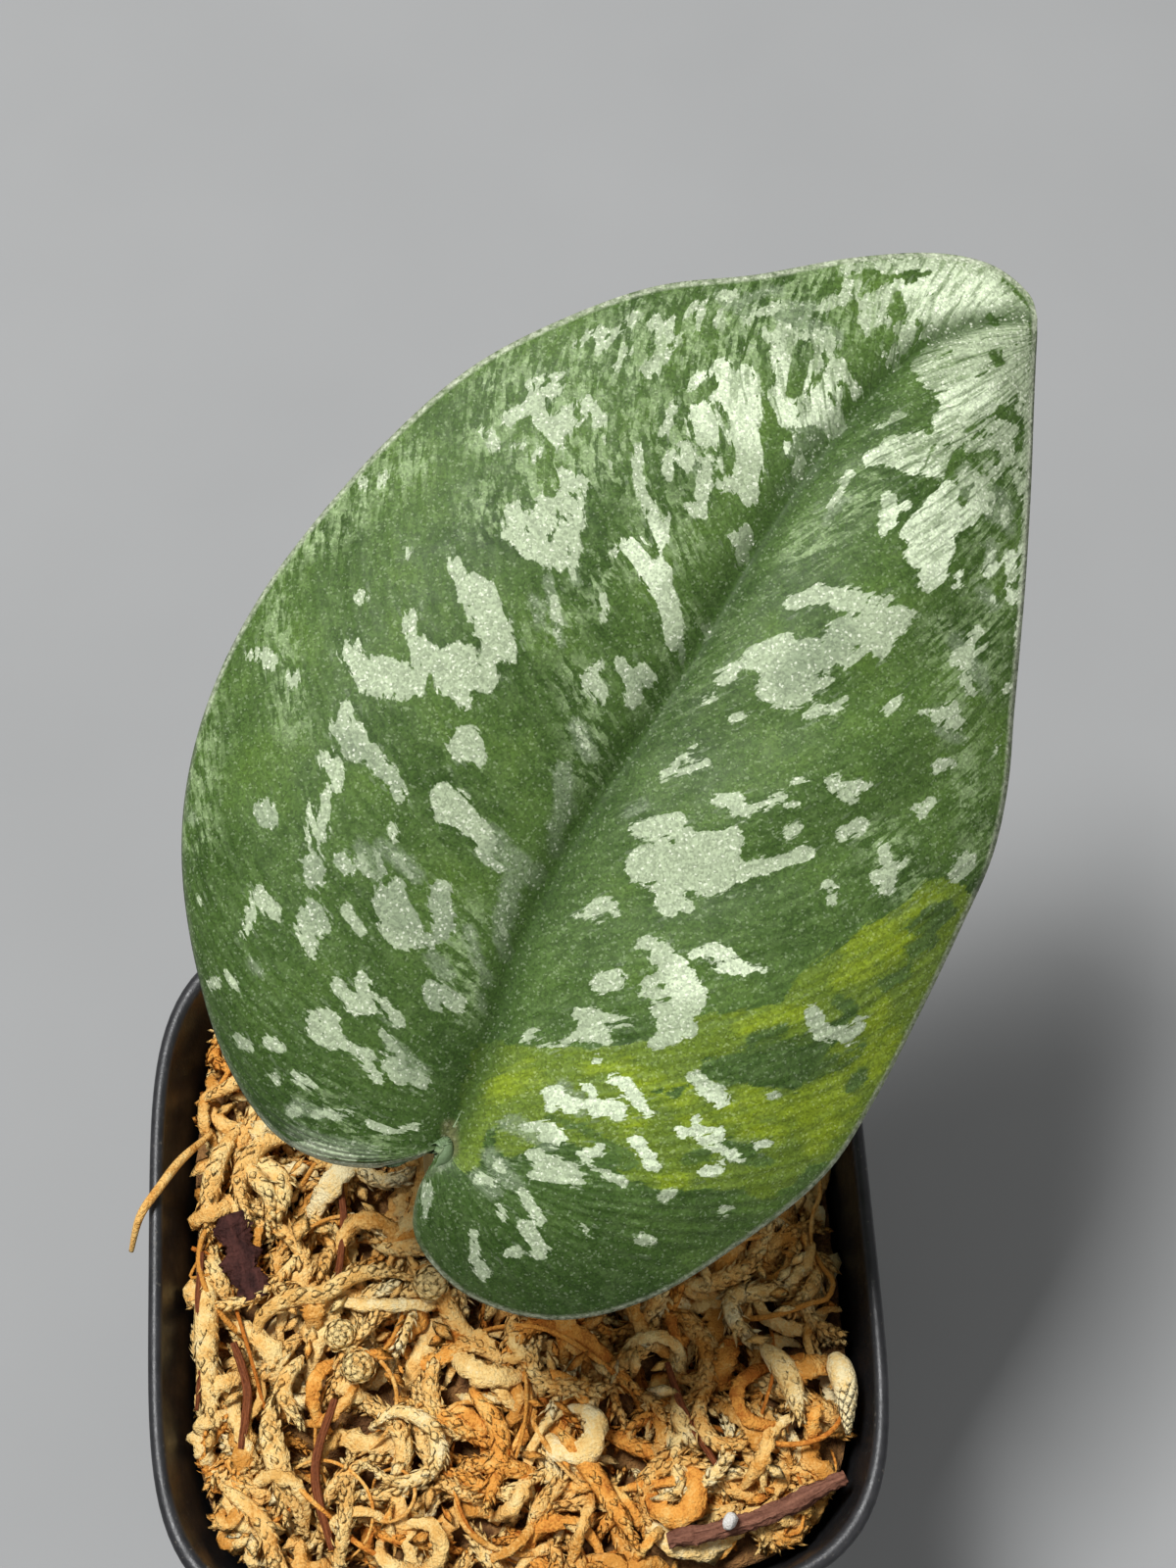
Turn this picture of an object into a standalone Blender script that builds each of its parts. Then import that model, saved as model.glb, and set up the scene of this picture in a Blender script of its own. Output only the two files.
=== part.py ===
# Satin pothos: a young cutting with one leaf, in a square nursery pot filled with sphagnum moss.
# The script is in metres, +Z up. The origin is the centre of the pot's underside, and the
# pot's near side faces -Y. The constants below are millimetres, which finish() scales once.

import math

import bmesh
import bpy
from mathutils import Vector, noise

MM = 0.001
WELD = 0.0005          # points nearer than this are one point
GAP = 0.35             # room between touching pieces

# Pot: a bowed square, so every level is a superellipse with this exponent
CORNER_POWER = 4.5
POT_SIDES = 64
RIM_HALF = 35.0
BASE_HALF = 25.0
RIM_TOP = 65.0
WALL = 1.2
STEP_HEIGHT = 51.0
STEP_HALF = 31.7
FLOOR_TOP = 2.6
CHANNEL_DEPTH = 1.2
CENTRE_PAD_HALF = 9.0
FOOT_RING_HALF = 20.1
DRAIN_RADIUS = 2.4
DRAIN_OFFSET = 14.4

# Moss: its middle level, the reach of its bumps and the dip beside the right wall
MOSS_TOP = 60.0
BUMP_HEIGHT = 1.1
BUMP_REACH = 9.0
RIGHT_DIP = ((29.0, 4.0), 3.2, 9.0)
RIGHT_MOUND = ((25.0, -17.0), 1.6, 8.0)

# Dark twig at the near right, and the height of its top over the moss
TWIG_RADIUS = 0.9
TWIG_TOP = 2 * TWIG_RADIUS + GAP + 0.2

# What lies on the moss: name, colour, radius, flatness, and its route as (x, y, lift)
LYING = (
    ("bark_sliver", "bark", 1.7, 0.45, ((-29.0, 5.2, 0.0), (-25.4, 0.4, 0.1), (-22.0, -4.6, 0.0))),
    ("moss_curl", "moss", 1.0, 1.0, ((-14.4, -16.4, 0.0), (-11.6, -15.0, 0.4), (-8.4, -16.8, 0.6),
                                     (-8.2, -20.2, 0.4), (-11.6, -21.6, 0.2), (-14.4, -20.0, 0.0))),
    ("red_stem_back", "bark", 0.5, 1.0, ((-17.2, 10.5, 0.0), (-16.4, 4.0, 0.0), (-17.4, -3.4, 0.0))),
    ("red_stem_side", "bark", 0.6, 1.0, ((-27.2, -7.4, 0.0), (-26.0, -12.0, 0.0), (-26.6, -17.5, 0.0))),
    ("red_stem_front", "bark", 0.6, 1.0, ((-17.6, -13.4, 0.0), (-19.6, -20.0, 0.0), (-18.2, -27.2, 0.0))),
    ("orange_frond_left", "rust", 1.2, 1.0, ((-4.6, -13.4, 0.0), (-2.0, -18.0, 0.2), (-3.6, -24.4, 0.0))),
    ("orange_frond_right", "rust", 1.2, 1.0, ((3.4, -17.6, 0.0), (6.6, -22.0, 0.2), (10.0, -28.4, 0.0))),
    ("cream_stalk", "cream", 1.15, 1.0, ((29.4, -10.8, 0.0), (30.6, -15.2, 0.1), (30.5, -20.6, 0.0))),
    ("pale_tuft", "cream", 1.5, 0.8, ((23.2, -11.2, 0.0), (25.4, -14.2, 0.1), (26.2, -18.4, 0.0))),
    ("dark_twig", "bark", TWIG_RADIUS, 1.0, ((13.0, -28.4, 0.0), (21.4, -27.0, 0.0), (30.0, -23.8, 0.0))),
    ("thin_twig", "bark", 0.5, 1.0, ((14.2, -12.0, 0.0), (15.6, -17.0, 0.0), (18.4, -22.6, 0.0))),
    ("moss_strand_left", "moss", 1.1, 1.0, ((-28.6, -20.6, 0.0), (-24.6, -24.4, 0.1), (-23.6, -29.0, 0.0))),
    ("moss_strand_back", "moss", 1.1, 1.0, ((-30.0, 17.0, 0.0), (-24.4, 20.0, 0.1), (-21.0, 25.0, 0.0))),
    ("moss_strand_far", "moss", 1.1, 1.0, ((8.0, 22.0, 0.0), (15.0, 24.6, 0.1), (22.0, 21.6, 0.0))),
)
BUDS = (
    ("pale_moss_knob", "cream", 1.7, (-8.0, -3.0, 0.0)),
    ("moss_bud_back", "moss", 1.5, (-16.9, -7.4, 0.0)),
    ("moss_bud_front", "moss", 1.6, (-15.2, -10.6, 0.0)),
    ("perlite_grain", "cream", 0.9, (18.9, -27.3, TWIG_TOP)),
)

# Stem cutting, petiole and roots. Heights are where each leaves the stem's node.
STEM_FOOT = Vector((-1.5, 6.5, 42.0))
STEM_TOP = Vector((2.0, 4.0, 65.5))
STEM_RADIUS = 2.4
NODE_RADIUS = 2.75
PETIOLE_RADIUS = 1.45
PETIOLE_START = 62.3
ROOT_START = 56.5
ROOT_RADIUS = 0.7
ROOTS = (("root_left", 170, 4.0), ("root_right", 20, -3.0), ("root_back", 95, 3.0))
POCKET_END = 1.0       # how far a pocket runs past both ends of what it holds

# Leaf: where the blade meets its petiole, and the blade's own directions
JUNCTION = Vector((-3.8, 0.7, 98.0))
ACROSS = Vector((0.7748, -0.5802, -0.2514)).normalized()
ALONG = Vector((0.6323, 0.7081, 0.3145)).normalized()
OUTWARD = ACROSS.cross(ALONG)
BLADE_THICKNESS = 0.8
BLADE_ROWS = 48
BLADE_COLUMNS = 18
VEIN_BEND = 0.10

# Relief of the blade: how far its halves arch and its margins roll, as a share of their width
ARCH = 0.105
ROLL_LEFT = 0.05
ROLL_RIGHT = 0.115

# The blade's outline was measured from one point, this far over its plane and over this spot,
# so what lies lower than the plane is truly wider than it looked.
SIGHT_SPOT = Vector((-7.8, 31.5))
SIGHT_DISTANCE = 215.0

# Each row is one main vein from tip to notch: its foot on the midrib, its end on the left
# margin and its end on the right margin, as (across, along) on the blade.
VEIN_ROWS = (
    ((0.3, 85.6), (0.3, 85.6), (0.3, 85.6)),
    ((-1.6, 84.0), (-1.6, 86.9), (1.6, 83.6)),
    ((-4.2, 81.4), (-5.6, 87.0), (2.6, 82.0)),
    ((-6.6, 77.0), (-10.2, 84.9), (3.9, 80.0)),
    ((-7.5, 71.0), (-15.8, 80.6), (5.4, 77.9)),
    ((-7.9, 63.0), (-21.5, 75.1), (7.4, 74.8)),
    ((-7.6, 54.5), (-28.0, 69.2), (9.3, 72.0)),
    ((-6.7, 46.0), (-33.2, 61.6), (11.2, 69.0)),
    ((-6.4, 38.0), (-36.4, 54.0), (13.0, 65.8)),
    ((-6.2, 30.0), (-38.4, 45.5), (15.2, 62.2)),
    ((-5.5, 22.5), (-39.4, 36.5), (18.0, 57.4)),
    ((-4.0, 15.5), (-39.5, 28.0), (21.2, 52.0)),
    ((-2.2, 10.0), (-38.3, 20.0), (23.6, 46.3)),
    ((-1.1, 6.0), (-35.7, 12.6), (25.0, 39.5)),
    ((-0.5, 3.2), (-31.8, 6.2), (26.3, 32.0)),
    ((-0.2, 1.3), (-26.2, 0.2), (27.4, 24.0)),
    ((0.0, 0.0), (-19.5, -5.0), (27.7, 16.5)),
    ((0.0, 0.0), (-13.0, -7.7), (25.6, 8.5)),
    ((0.0, 0.0), (-8.1, -7.5), (21.7, -0.8)),
    ((0.0, 0.0), (-4.2, -5.7), (16.2, -6.9)),
    ((0.0, 0.0), (-1.6, -3.2), (9.0, -9.5)),
    ((0.0, 0.0), (-0.7, -1.6), (2.8, -8.2)),
    ((0.0, 0.0), (-0.3, -0.7), (0.3, -4.2)),
    ((0.0, 0.0), (-0.1, -0.2), (1.0, -1.3)),
    ((0.0, 0.0), (0.0, 0.0), (0.0, 0.0)),
)


def clear_scene():
    for item in list(bpy.data.objects):
        bpy.data.objects.remove(item, do_unlink=True)


def make_material(name, colour, roughness):
    material = bpy.data.materials.new(name)
    material.use_nodes = True
    shader = material.node_tree.nodes["Principled BSDF"]
    shader.inputs["Base Color"].default_value = (*colour, 1.0)
    shader.inputs["Roughness"].default_value = roughness
    shader.inputs["Metallic"].default_value = 0.0
    return material


def finish(name, shape, material, sharp_angle=40.0):
    """Weld the shape, scale it to metres and make it a named object."""
    bmesh.ops.remove_doubles(shape, verts=shape.verts, dist=WELD)
    bmesh.ops.recalc_face_normals(shape, faces=shape.faces)
    bmesh.ops.scale(shape, vec=(MM, MM, MM), verts=shape.verts)
    mesh = bpy.data.meshes.new(name)
    shape.to_mesh(mesh)
    shape.free()
    mesh.shade_smooth()
    mesh.set_sharp_from_angle(angle=math.radians(sharp_angle))
    mesh.materials.append(material)
    item = bpy.data.objects.new(name, mesh)
    bpy.context.scene.collection.objects.link(item)
    return item


def patch(columns, rows, place):
    """A grid whose points are put where place(u, v) says, with u and v from 0 to 1."""
    shape = bmesh.new()
    bmesh.ops.create_grid(shape, x_segments=columns, y_segments=rows, size=0.5)
    for vert in shape.verts:
        vert.co = place(vert.co.x + 0.5, vert.co.y + 0.5)
    return shape


def curve_point(points, u):
    """The point at u, from 0 to 1, on a smooth curve through hand-placed points."""
    last = len(points) - 1
    spot = min(max(u, 0.0), 1.0) * last
    index = min(int(spot), last - 1)
    f = spot - index
    near = [points[min(max(index + step, 0), last)] for step in (-1, 0, 1, 2)]
    return Vector([
        0.5 * (2 * b + (c - a) * f + (2 * a - 5 * b + 4 * c - d) * f * f
               + (3 * b - a - 3 * c + d) * f ** 3)
        for a, b, c, d in zip(*near)
    ])


def ring_point(half, angle, height):
    """A point on a bowed square of the given half width."""
    power = 2.0 / CORNER_POWER
    x = math.copysign(abs(math.cos(angle)) ** power, math.cos(angle))
    y = math.copysign(abs(math.sin(angle)) ** power, math.sin(angle))
    return Vector((half * x, half * y, height))


def turned_square(profile, lift=None):
    """A bowed square swept round a (half width, height) profile, closed at both middles."""
    last = len(profile) - 1

    def place(u, v):
        half, height = profile[round(v * last)]
        spot = ring_point(half, 2 * math.pi * u, height)
        if lift:
            spot.z += lift(spot)
        return spot

    return patch(POT_SIDES, last, place)


def tube(route, radii, sides=6, rings=14, flatness=1.0, room=0.0):
    """A closed tube along a smooth route; flatness squashes its upright thickness.

    With room, it is the pocket of such a tube: wider all round by room, and longer at both ends.
    """
    spots = [curve_point(route, i / rings) for i in range(rings + 1)]
    reach = [curve_point([(r, 0.0) for r in radii], i / rings)[0] + room for i in range(rings + 1)]
    if room:
        spots.insert(0, spots[0] + (spots[0] - spots[1]).normalized() * POCKET_END)
        spots.append(spots[-1] + (spots[-1] - spots[-2]).normalized() * POCKET_END)
        reach = [reach[0]] + reach + [reach[-1]]
    last = len(spots) - 1
    frames = []
    for i, spot in enumerate(spots):
        ahead = (spots[min(i + 1, last)] - spots[max(i - 1, 0)]).normalized()
        guide = frames[-1][0] if frames else ahead.orthogonal()
        if flatness != 1.0:
            guide = ahead.cross(Vector((0, 0, 1)))
        side = (guide - ahead * guide.dot(ahead)).normalized()
        frames.append((side, ahead.cross(side)))

    def place(u, v):
        ring = round(v * last)
        side, rise = frames[ring]
        turn = 2 * math.pi * u
        swing = side * math.cos(turn) + rise * (math.sin(turn) * flatness)
        return spots[ring] + swing * reach[ring]

    shape = patch(sides, last, place)
    bmesh.ops.remove_doubles(shape, verts=shape.verts, dist=WELD)
    bmesh.ops.holes_fill(shape, edges=[e for e in shape.edges if e.is_boundary], sides=0)
    return shape


def add_cutter(target, cutter):
    """Cut one hidden shape out of a target."""
    cutter.hide_render = True
    cutter.display_type = "WIRE"
    cut = target.modifiers.new(cutter.name, "BOOLEAN")
    cut.operation = "DIFFERENCE"
    cut.solver = "EXACT"
    cut.object = cutter


def inner_half(height):
    """Half width of the pot's inside at a height."""
    if height < STEP_HEIGHT:
        rise = (height - FLOOR_TOP) / (STEP_HEIGHT - FLOOR_TOP)
        return (BASE_HALF - 1.0) + rise * (STEP_HALF - WALL - BASE_HALF + 1.0)
    rise = (height - STEP_HEIGHT - 1.5) / (RIM_TOP - STEP_HEIGHT - 1.5)
    return STEP_HALF + max(rise, 0.0) * (RIM_HALF - 1.7 - STEP_HALF)


def moss_level(x, y):
    """Height of the moss surface, with its bumps, the dip and the mound at the right."""
    level = MOSS_TOP + BUMP_HEIGHT * noise.noise(Vector((x / BUMP_REACH, y / BUMP_REACH, 3.1)))
    for (mid, depth, reach), sign in ((RIGHT_DIP, -1.0), (RIGHT_MOUND, 1.0)):
        away = math.hypot(x - mid[0], y - mid[1]) / reach
        level += sign * depth * math.exp(-away * away)
    return level


def make_pot(plastic):
    outer = (
        (0.0, 0.0), (CENTRE_PAD_HALF, 0.0), (CENTRE_PAD_HALF + 0.6, CHANNEL_DEPTH),
        (FOOT_RING_HALF - 0.6, CHANNEL_DEPTH), (FOOT_RING_HALF, 0.0),
        (BASE_HALF - 0.8, 0.0), (BASE_HALF, 0.8),
        (STEP_HALF, STEP_HEIGHT), (STEP_HALF + 1.3, STEP_HEIGHT + 1.3),
        (RIM_HALF - 0.6, RIM_TOP - 1.9), (RIM_HALF - 0.05, RIM_TOP - 1.5),
        (RIM_HALF, RIM_TOP - 0.6), (RIM_HALF - 0.35, RIM_TOP),
    )
    inner = (
        (RIM_HALF - 1.25, RIM_TOP), (RIM_HALF - 1.7, RIM_TOP - 0.5),
        (STEP_HALF, STEP_HEIGHT + 1.5), (STEP_HALF - WALL, STEP_HEIGHT),
        (BASE_HALF - 1.0, FLOOR_TOP + 0.8), (BASE_HALF - 1.8, FLOOR_TOP), (0.0, FLOOR_TOP),
    )
    pot = finish("pot", turned_square(outer + inner), plastic, sharp_angle=35.0)
    holes = bmesh.new()
    for column in (-1, 0, 1):
        for row in (-1, 0, 1):
            if column or row:
                ends = bmesh.ops.create_cone(holes, cap_ends=True, segments=16, radius1=DRAIN_RADIUS,
                                             radius2=DRAIN_RADIUS, depth=8.0)
                middle = (column * DRAIN_OFFSET, row * DRAIN_OFFSET, 1.5)
                bmesh.ops.translate(holes, verts=ends["verts"], vec=middle)
    add_cutter(pot, finish("drain_cutter", holes, plastic))


def make_moss_plug(moss):
    floor = FLOOR_TOP + GAP
    low, high = 6.0, STEP_HEIGHT - 0.5
    ledge, edge = STEP_HEIGHT + 2.0, MOSS_TOP - 2.2
    profile = [
        (0.0, floor), (inner_half(FLOOR_TOP) - 2.4, floor), (inner_half(low) - GAP - 0.2, low),
        (inner_half(high) - GAP, high), (inner_half(ledge) - GAP, ledge),
        (inner_half(edge) - GAP, edge), (inner_half(edge) - 0.8, edge + 1.2),
    ]
    profile += [(half, MOSS_TOP) for half in (31.2, 28.6, 25.8, 22.8, 19.8, 16.6, 13.4, 10.2, 7.0, 3.6, 0.0)]

    def lift(spot):
        return moss_level(spot.x, spot.y) - MOSS_TOP if spot.z == MOSS_TOP else 0.0

    return finish("moss_plug", turned_square(profile, lift), moss)


def make_stem(bark, moss_plug):
    heights = (0.0, 0.25, 0.5, 0.7, 0.83, 0.92, 1.0)
    route = [STEM_FOOT.lerp(STEM_TOP, f) for f in heights]
    radii = [STEM_RADIUS - 0.3, STEM_RADIUS, STEM_RADIUS, STEM_RADIUS, NODE_RADIUS, STEM_RADIUS,
             STEM_RADIUS - 0.2]
    finish("stem_cutting", tube(route, radii, sides=12, rings=18), bark)
    pocket = tube(route, radii, sides=12, rings=18, room=GAP)
    add_cutter(moss_plug, finish("stem_pocket", pocket, bark))


def stem_side(height, away):
    """A point just off the stem's side at a height, in a level direction."""
    share = (height - STEM_FOOT.z) / (STEM_TOP.z - STEM_FOOT.z)
    return STEM_FOOT.lerp(STEM_TOP, share) + away * (NODE_RADIUS + GAP + 0.1)


def make_petiole(green):
    away = Vector((-0.82, -0.57, 0.0))
    start = stem_side(PETIOLE_START, away)
    seat = JUNCTION - OUTWARD * (BLADE_THICKNESS + GAP)
    route = [start, start + away * 1.6 + Vector((0, 0, 0.9)), Vector((-4.9, 1.0, 67.5)),
             Vector((-5.6, 2.0, 75.0)), Vector((-5.4, 3.2, 84.0)), Vector((-4.5, 3.0, 91.5)), seat]
    radii = [1.5, 1.75, 1.7, PETIOLE_RADIUS, PETIOLE_RADIUS - 0.1, 1.6, 1.35]
    finish("petiole", tube(route, radii, sides=12, rings=26), green)


def make_roots(root_skin, moss_plug):
    """Three young roots that leave the node and go down into the moss."""
    for name, heading, drift in ROOTS:
        turn = math.radians(heading)
        level = Vector((math.cos(turn), math.sin(turn), 0.0))
        start = stem_side(ROOT_START, level)
        cross = Vector((-level.y, level.x, 0.0))
        route = [start, start + level * 3.0 + Vector((0, 0, -1.5)),
                 start + level * 7.0 + cross * drift + Vector((0, 0, -8.0)),
                 start + level * 9.0 - cross * drift * 0.3 + Vector((0, 0, -17.0)),
                 start + level * 12.0 + cross * drift + Vector((0, 0, -25.0))]
        radii = [ROOT_RADIUS, ROOT_RADIUS, ROOT_RADIUS, ROOT_RADIUS * 0.8, ROOT_RADIUS * 0.45]
        finish(name, tube(route, radii, sides=6, rings=16), root_skin)
        pocket = tube(route, radii, sides=6, rings=16, room=GAP)
        add_cutter(moss_plug, finish(name + "_pocket", pocket, root_skin))


def blade_relief(side, reach, width, along):
    """Height of the blade over its plane: arched halves, rolled margins and a hanging tip."""
    arch = ARCH * width * math.sin(math.pi * reach ** 0.85)
    roll = (ROLL_LEFT if side < 0 else ROLL_RIGHT) * width * reach ** 3
    length = 1.2 - 3.0 * ((along - 33.0) / 52.0) ** 2
    tip = 4.0 * max(0.0, (along - 60.0) / 26.0) ** 2
    lobes = 0.018 * min(along, 0.0) ** 2
    return arch - roll + length - tip - lobes


def blade_point(u, v):
    """A point of the blade: u runs from left margin to right margin, v from tip to notch."""
    foot, left, right = (curve_point([row[part] for row in VEIN_ROWS], v) for part in range(3))
    side = 1.0 if u > 0.5 else -1.0
    reach = abs(u - 0.5) * 2
    end = right if side > 0 else left
    vein = end - foot
    bow = Vector((vein.y, -vein.x)) * side
    spot = foot + vein * reach + bow * (VEIN_BEND * 4 * reach * (1 - reach) * min(1.0, vein.length / 20))
    height = blade_relief(side, reach, vein.length, spot.y)
    spot = SIGHT_SPOT + (spot - SIGHT_SPOT) * (1.0 - height / SIGHT_DISTANCE)
    return JUNCTION + ACROSS * spot.x + ALONG * spot.y + OUTWARD * height


def make_leaf(green):
    blade = finish("leaf_blade", patch(BLADE_COLUMNS, BLADE_ROWS, blade_point), green)
    if blade.data.polygons[0].normal.dot(OUTWARD) < 0:
        blade.data.flip_normals()
    body = blade.modifiers.new("thickness", "SOLIDIFY")
    body.thickness = BLADE_THICKNESS * MM
    body.offset = -1.0
    body.use_even_offset = False


def lay_on_moss(spots, radius, flatness=1.0):
    """Turn (x, y, lift) spots into a route that lies on the moss."""
    rise = radius * flatness + GAP + 0.15
    return [Vector((x, y, moss_level(x, y) + rise + lift)) for x, y, lift in spots]


def make_litter(colours):
    """The loose strands, sprigs, twigs and buds that lie on the moss."""
    for name, colour, radius, flatness, spots in LYING:
        route = lay_on_moss(spots, radius, flatness)
        radii = (radius * 0.55, radius * 0.9, radius, radius * 0.9, radius * 0.45)
        finish(name, tube(route, radii, sides=6, rings=12, flatness=flatness), colours[colour])

    over_rim = (Vector((-29.6, 13.6, moss_level(-29.6, 13.6) + 1.0)), Vector((-31.9, 10.6, 63.6)),
                Vector((-33.6, 7.4, RIM_TOP + 0.85)), Vector((-35.6, 4.6, RIM_TOP + 0.55)),
                Vector((-37.0, 2.0, RIM_TOP - 2.4)))
    radii = (0.3, 0.45, 0.45, 0.4, 0.25)
    finish("moss_strand_over_rim", tube(over_rim, radii, sides=6, rings=14), colours["moss"])

    for name, colour, radius, (x, y, lift) in BUDS:
        ball = bmesh.new()
        bmesh.ops.create_icosphere(ball, subdivisions=2, radius=radius)
        bmesh.ops.scale(ball, vec=(1.0, 0.9, 0.8), verts=ball.verts)
        middle = Vector((x, y, moss_level(x, y) + radius * 0.8 + GAP + 0.1 + lift))
        bmesh.ops.translate(ball, verts=ball.verts, vec=middle)
        finish(name, ball, colours[colour])


clear_scene()
black_plastic = make_material("black_plastic", (0.02, 0.021, 0.023), 0.45)
tan_moss = make_material("tan_moss", (0.55, 0.37, 0.17), 0.9)
stem_bark = make_material("stem_bark", (0.16, 0.09, 0.045), 0.8)
leaf_green = make_material("leaf_green", (0.05, 0.13, 0.035), 0.5)
petiole_green = make_material("petiole_green", (0.2, 0.21, 0.08), 0.5)
root_skin_pale = make_material("root_skin_pale", (0.5, 0.42, 0.3), 0.8)
litter_colours = {
    "moss": tan_moss,
    "bark": make_material("twig_bark", (0.11, 0.045, 0.03), 0.8),
    "rust": make_material("rust_moss", (0.55, 0.25, 0.07), 0.9),
    "cream": make_material("cream_moss", (0.8, 0.68, 0.46), 0.85),
}
make_pot(black_plastic)
plug = make_moss_plug(tan_moss)
make_stem(stem_bark, plug)
make_petiole(petiole_green)
make_roots(root_skin_pale, plug)
make_leaf(leaf_green)
make_litter(litter_colours)
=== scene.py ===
# Satin pothos: a young cutting with one leaf, in a square nursery pot of sphagnum moss.
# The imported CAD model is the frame, and each section makes one piece or one group of like pieces.
# Sizes are millimetres in the frame's own axes, and make_piece() scales them once to metres.

import math
import random

import bmesh
import bpy
import numpy as np
from mathutils import Matrix, Vector, noise


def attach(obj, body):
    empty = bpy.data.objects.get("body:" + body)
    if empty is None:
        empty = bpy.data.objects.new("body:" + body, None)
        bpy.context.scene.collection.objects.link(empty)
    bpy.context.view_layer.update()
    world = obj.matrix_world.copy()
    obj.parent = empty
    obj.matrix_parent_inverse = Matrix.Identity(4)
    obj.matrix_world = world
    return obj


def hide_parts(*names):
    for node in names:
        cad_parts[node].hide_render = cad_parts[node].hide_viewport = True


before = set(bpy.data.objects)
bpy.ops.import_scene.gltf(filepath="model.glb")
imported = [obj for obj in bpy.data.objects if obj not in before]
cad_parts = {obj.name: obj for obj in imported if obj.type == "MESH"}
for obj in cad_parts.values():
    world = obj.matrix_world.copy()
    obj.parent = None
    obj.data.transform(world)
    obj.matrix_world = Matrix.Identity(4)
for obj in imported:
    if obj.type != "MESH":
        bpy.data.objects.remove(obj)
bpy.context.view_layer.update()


# The pot is a bowed square, injection moulded in thin black polypropylene. Its wall flares to a
# step and a wider collar with a rounded lip, and eight round holes drain its floor.
MM = 0.001
WELD = 0.0004
CORNER_POWER = 4.5
POT_SIDES = 192
RIM_TOP = 65.0
RIM_HALF = 35.0
LIP_RADIUS = 0.7
STEP_HEIGHT = 51.0
FLOOR_TOP = 2.6
DRAIN_RADIUS = 2.4
DRAIN_OFFSET = 14.4
DRAIN_PLACES = ((-1, -1), (-1, 0), (-1, 1), (0, -1), (0, 1), (1, -1), (1, 0), (1, 1))
POT_OUTSIDE = (
    (0.0, 0.0), (8.7, 0.0), (9.0, 0.2), (9.5, 1.0), (9.9, 1.2), (19.2, 1.2), (19.6, 1.0),
    (20.0, 0.2), (20.3, 0.0), (24.0, 0.0), (24.6, 0.2), (24.95, 0.6), (25.1, 1.2),
    (27.4, 18.0), (29.6, 35.0), (31.62, 50.4), (31.75, STEP_HEIGHT), (32.1, 51.5), (32.9, 52.1),
    (33.2, 52.6), (33.32, 53.2), (34.35, 62.9), (34.6, 63.3), (34.9, 63.6),
)
POT_INSIDE = (
    (33.45, 63.4), (31.95, 53.4), (31.7, 52.6), (31.2, 52.0), (30.65, 51.4), (30.45, 50.6),
    (28.3, 34.0), (26.1, 18.0), (24.1, 3.8), (23.8, 3.1), (23.2, 2.65), (22.6, FLOOR_TOP),
    (12.0, FLOOR_TOP), (0.0, FLOOR_TOP),
)
PLASTIC_DARK = (0.010, 0.0105, 0.012)
# the paler plastic serves both real scuffs and the painted highlight on the lip
PLASTIC_WEAR_AND_HIGHLIGHT = (0.030, 0.030, 0.033)
PLASTIC_DUST = (0.16, 0.145, 0.12)


def make_piece(name, shape, materials, slot, *nodes, sharp_angle=60.0):
    """Make a millimetre shape a finished piece on the root body, in place of these CAD nodes."""
    bmesh.ops.scale(shape, vec=(MM, MM, MM), verts=shape.verts)
    mesh = bpy.data.meshes.new(name)
    shape.to_mesh(mesh)
    shape.free()
    mesh.shade_smooth()
    mesh.set_sharp_from_angle(angle=math.radians(sharp_angle))
    for material in materials:
        mesh.materials.append(material)
    piece = bpy.data.objects.new(name, mesh)
    bpy.context.scene.collection.objects.link(piece)
    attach(piece, "root")
    if nodes:
        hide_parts(*nodes)
    return piece


def close_up(shape):
    """Merge what lies together and turn every face outwards."""
    bmesh.ops.remove_doubles(shape, verts=shape.verts, dist=WELD)
    bmesh.ops.recalc_face_normals(shape, faces=shape.faces)


def squared(spot):
    """Move a point of a round form out to the bowed square of the same half width."""
    reach = math.hypot(spot.x, spot.y)
    if reach < WELD:
        return spot
    across = (abs(spot.x) / reach) ** CORNER_POWER + (abs(spot.y) / reach) ** CORNER_POWER
    stretch = across ** (-1.0 / CORNER_POWER)
    return Vector((spot.x * stretch, spot.y * stretch, spot.z))


def turned_square(profile):
    """Turn a (half width, height) profile about the upright axis, then square it."""
    shape = bmesh.new()
    line = [shape.verts.new((half, 0.0, height)) for half, height in profile]
    edges = [shape.edges.new(pair) for pair in zip(line, line[1:])]
    bmesh.ops.spin(shape, geom=line + edges, cent=(0, 0, 0), axis=(0, 0, 1),
                   angle=math.tau, steps=POT_SIDES, use_merge=True)
    close_up(shape)
    for vert in shape.verts:
        vert.co = squared(vert.co)
    return shape


def add_node(tree, kind, inputs=None, **settings):
    """Add a shader node. Each input is a value, or the socket that feeds it."""
    made = tree.nodes.new("ShaderNode" + kind)
    for name, value in settings.items():
        setattr(made, name, value)
    for socket, value in (inputs or {}).items():
        if isinstance(value, bpy.types.NodeSocket):
            tree.links.new(value, made.inputs[socket])
        elif made.inputs[socket].type == "RGBA":
            made.inputs[socket].default_value = (*value, 1.0)
        else:
            made.inputs[socket].default_value = value
    return made


def maths(tree, operation, *values):
    return add_node(tree, "Math", dict(enumerate(values)), operation=operation).outputs[0]


def step_up(tree, value, low, high):
    """0 below low and 1 above high, smoothly between."""
    inputs = {"Value": value, "From Min": low, "From Max": high}
    return add_node(tree, "MapRange", inputs, interpolation_type="SMOOTHSTEP").outputs[0]


def mix_colours(tree, share, under, over):
    mixed = add_node(tree, "Mix", {0: share, 6: under, 7: over}, data_type="RGBA")
    return mixed.outputs[2]


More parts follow.
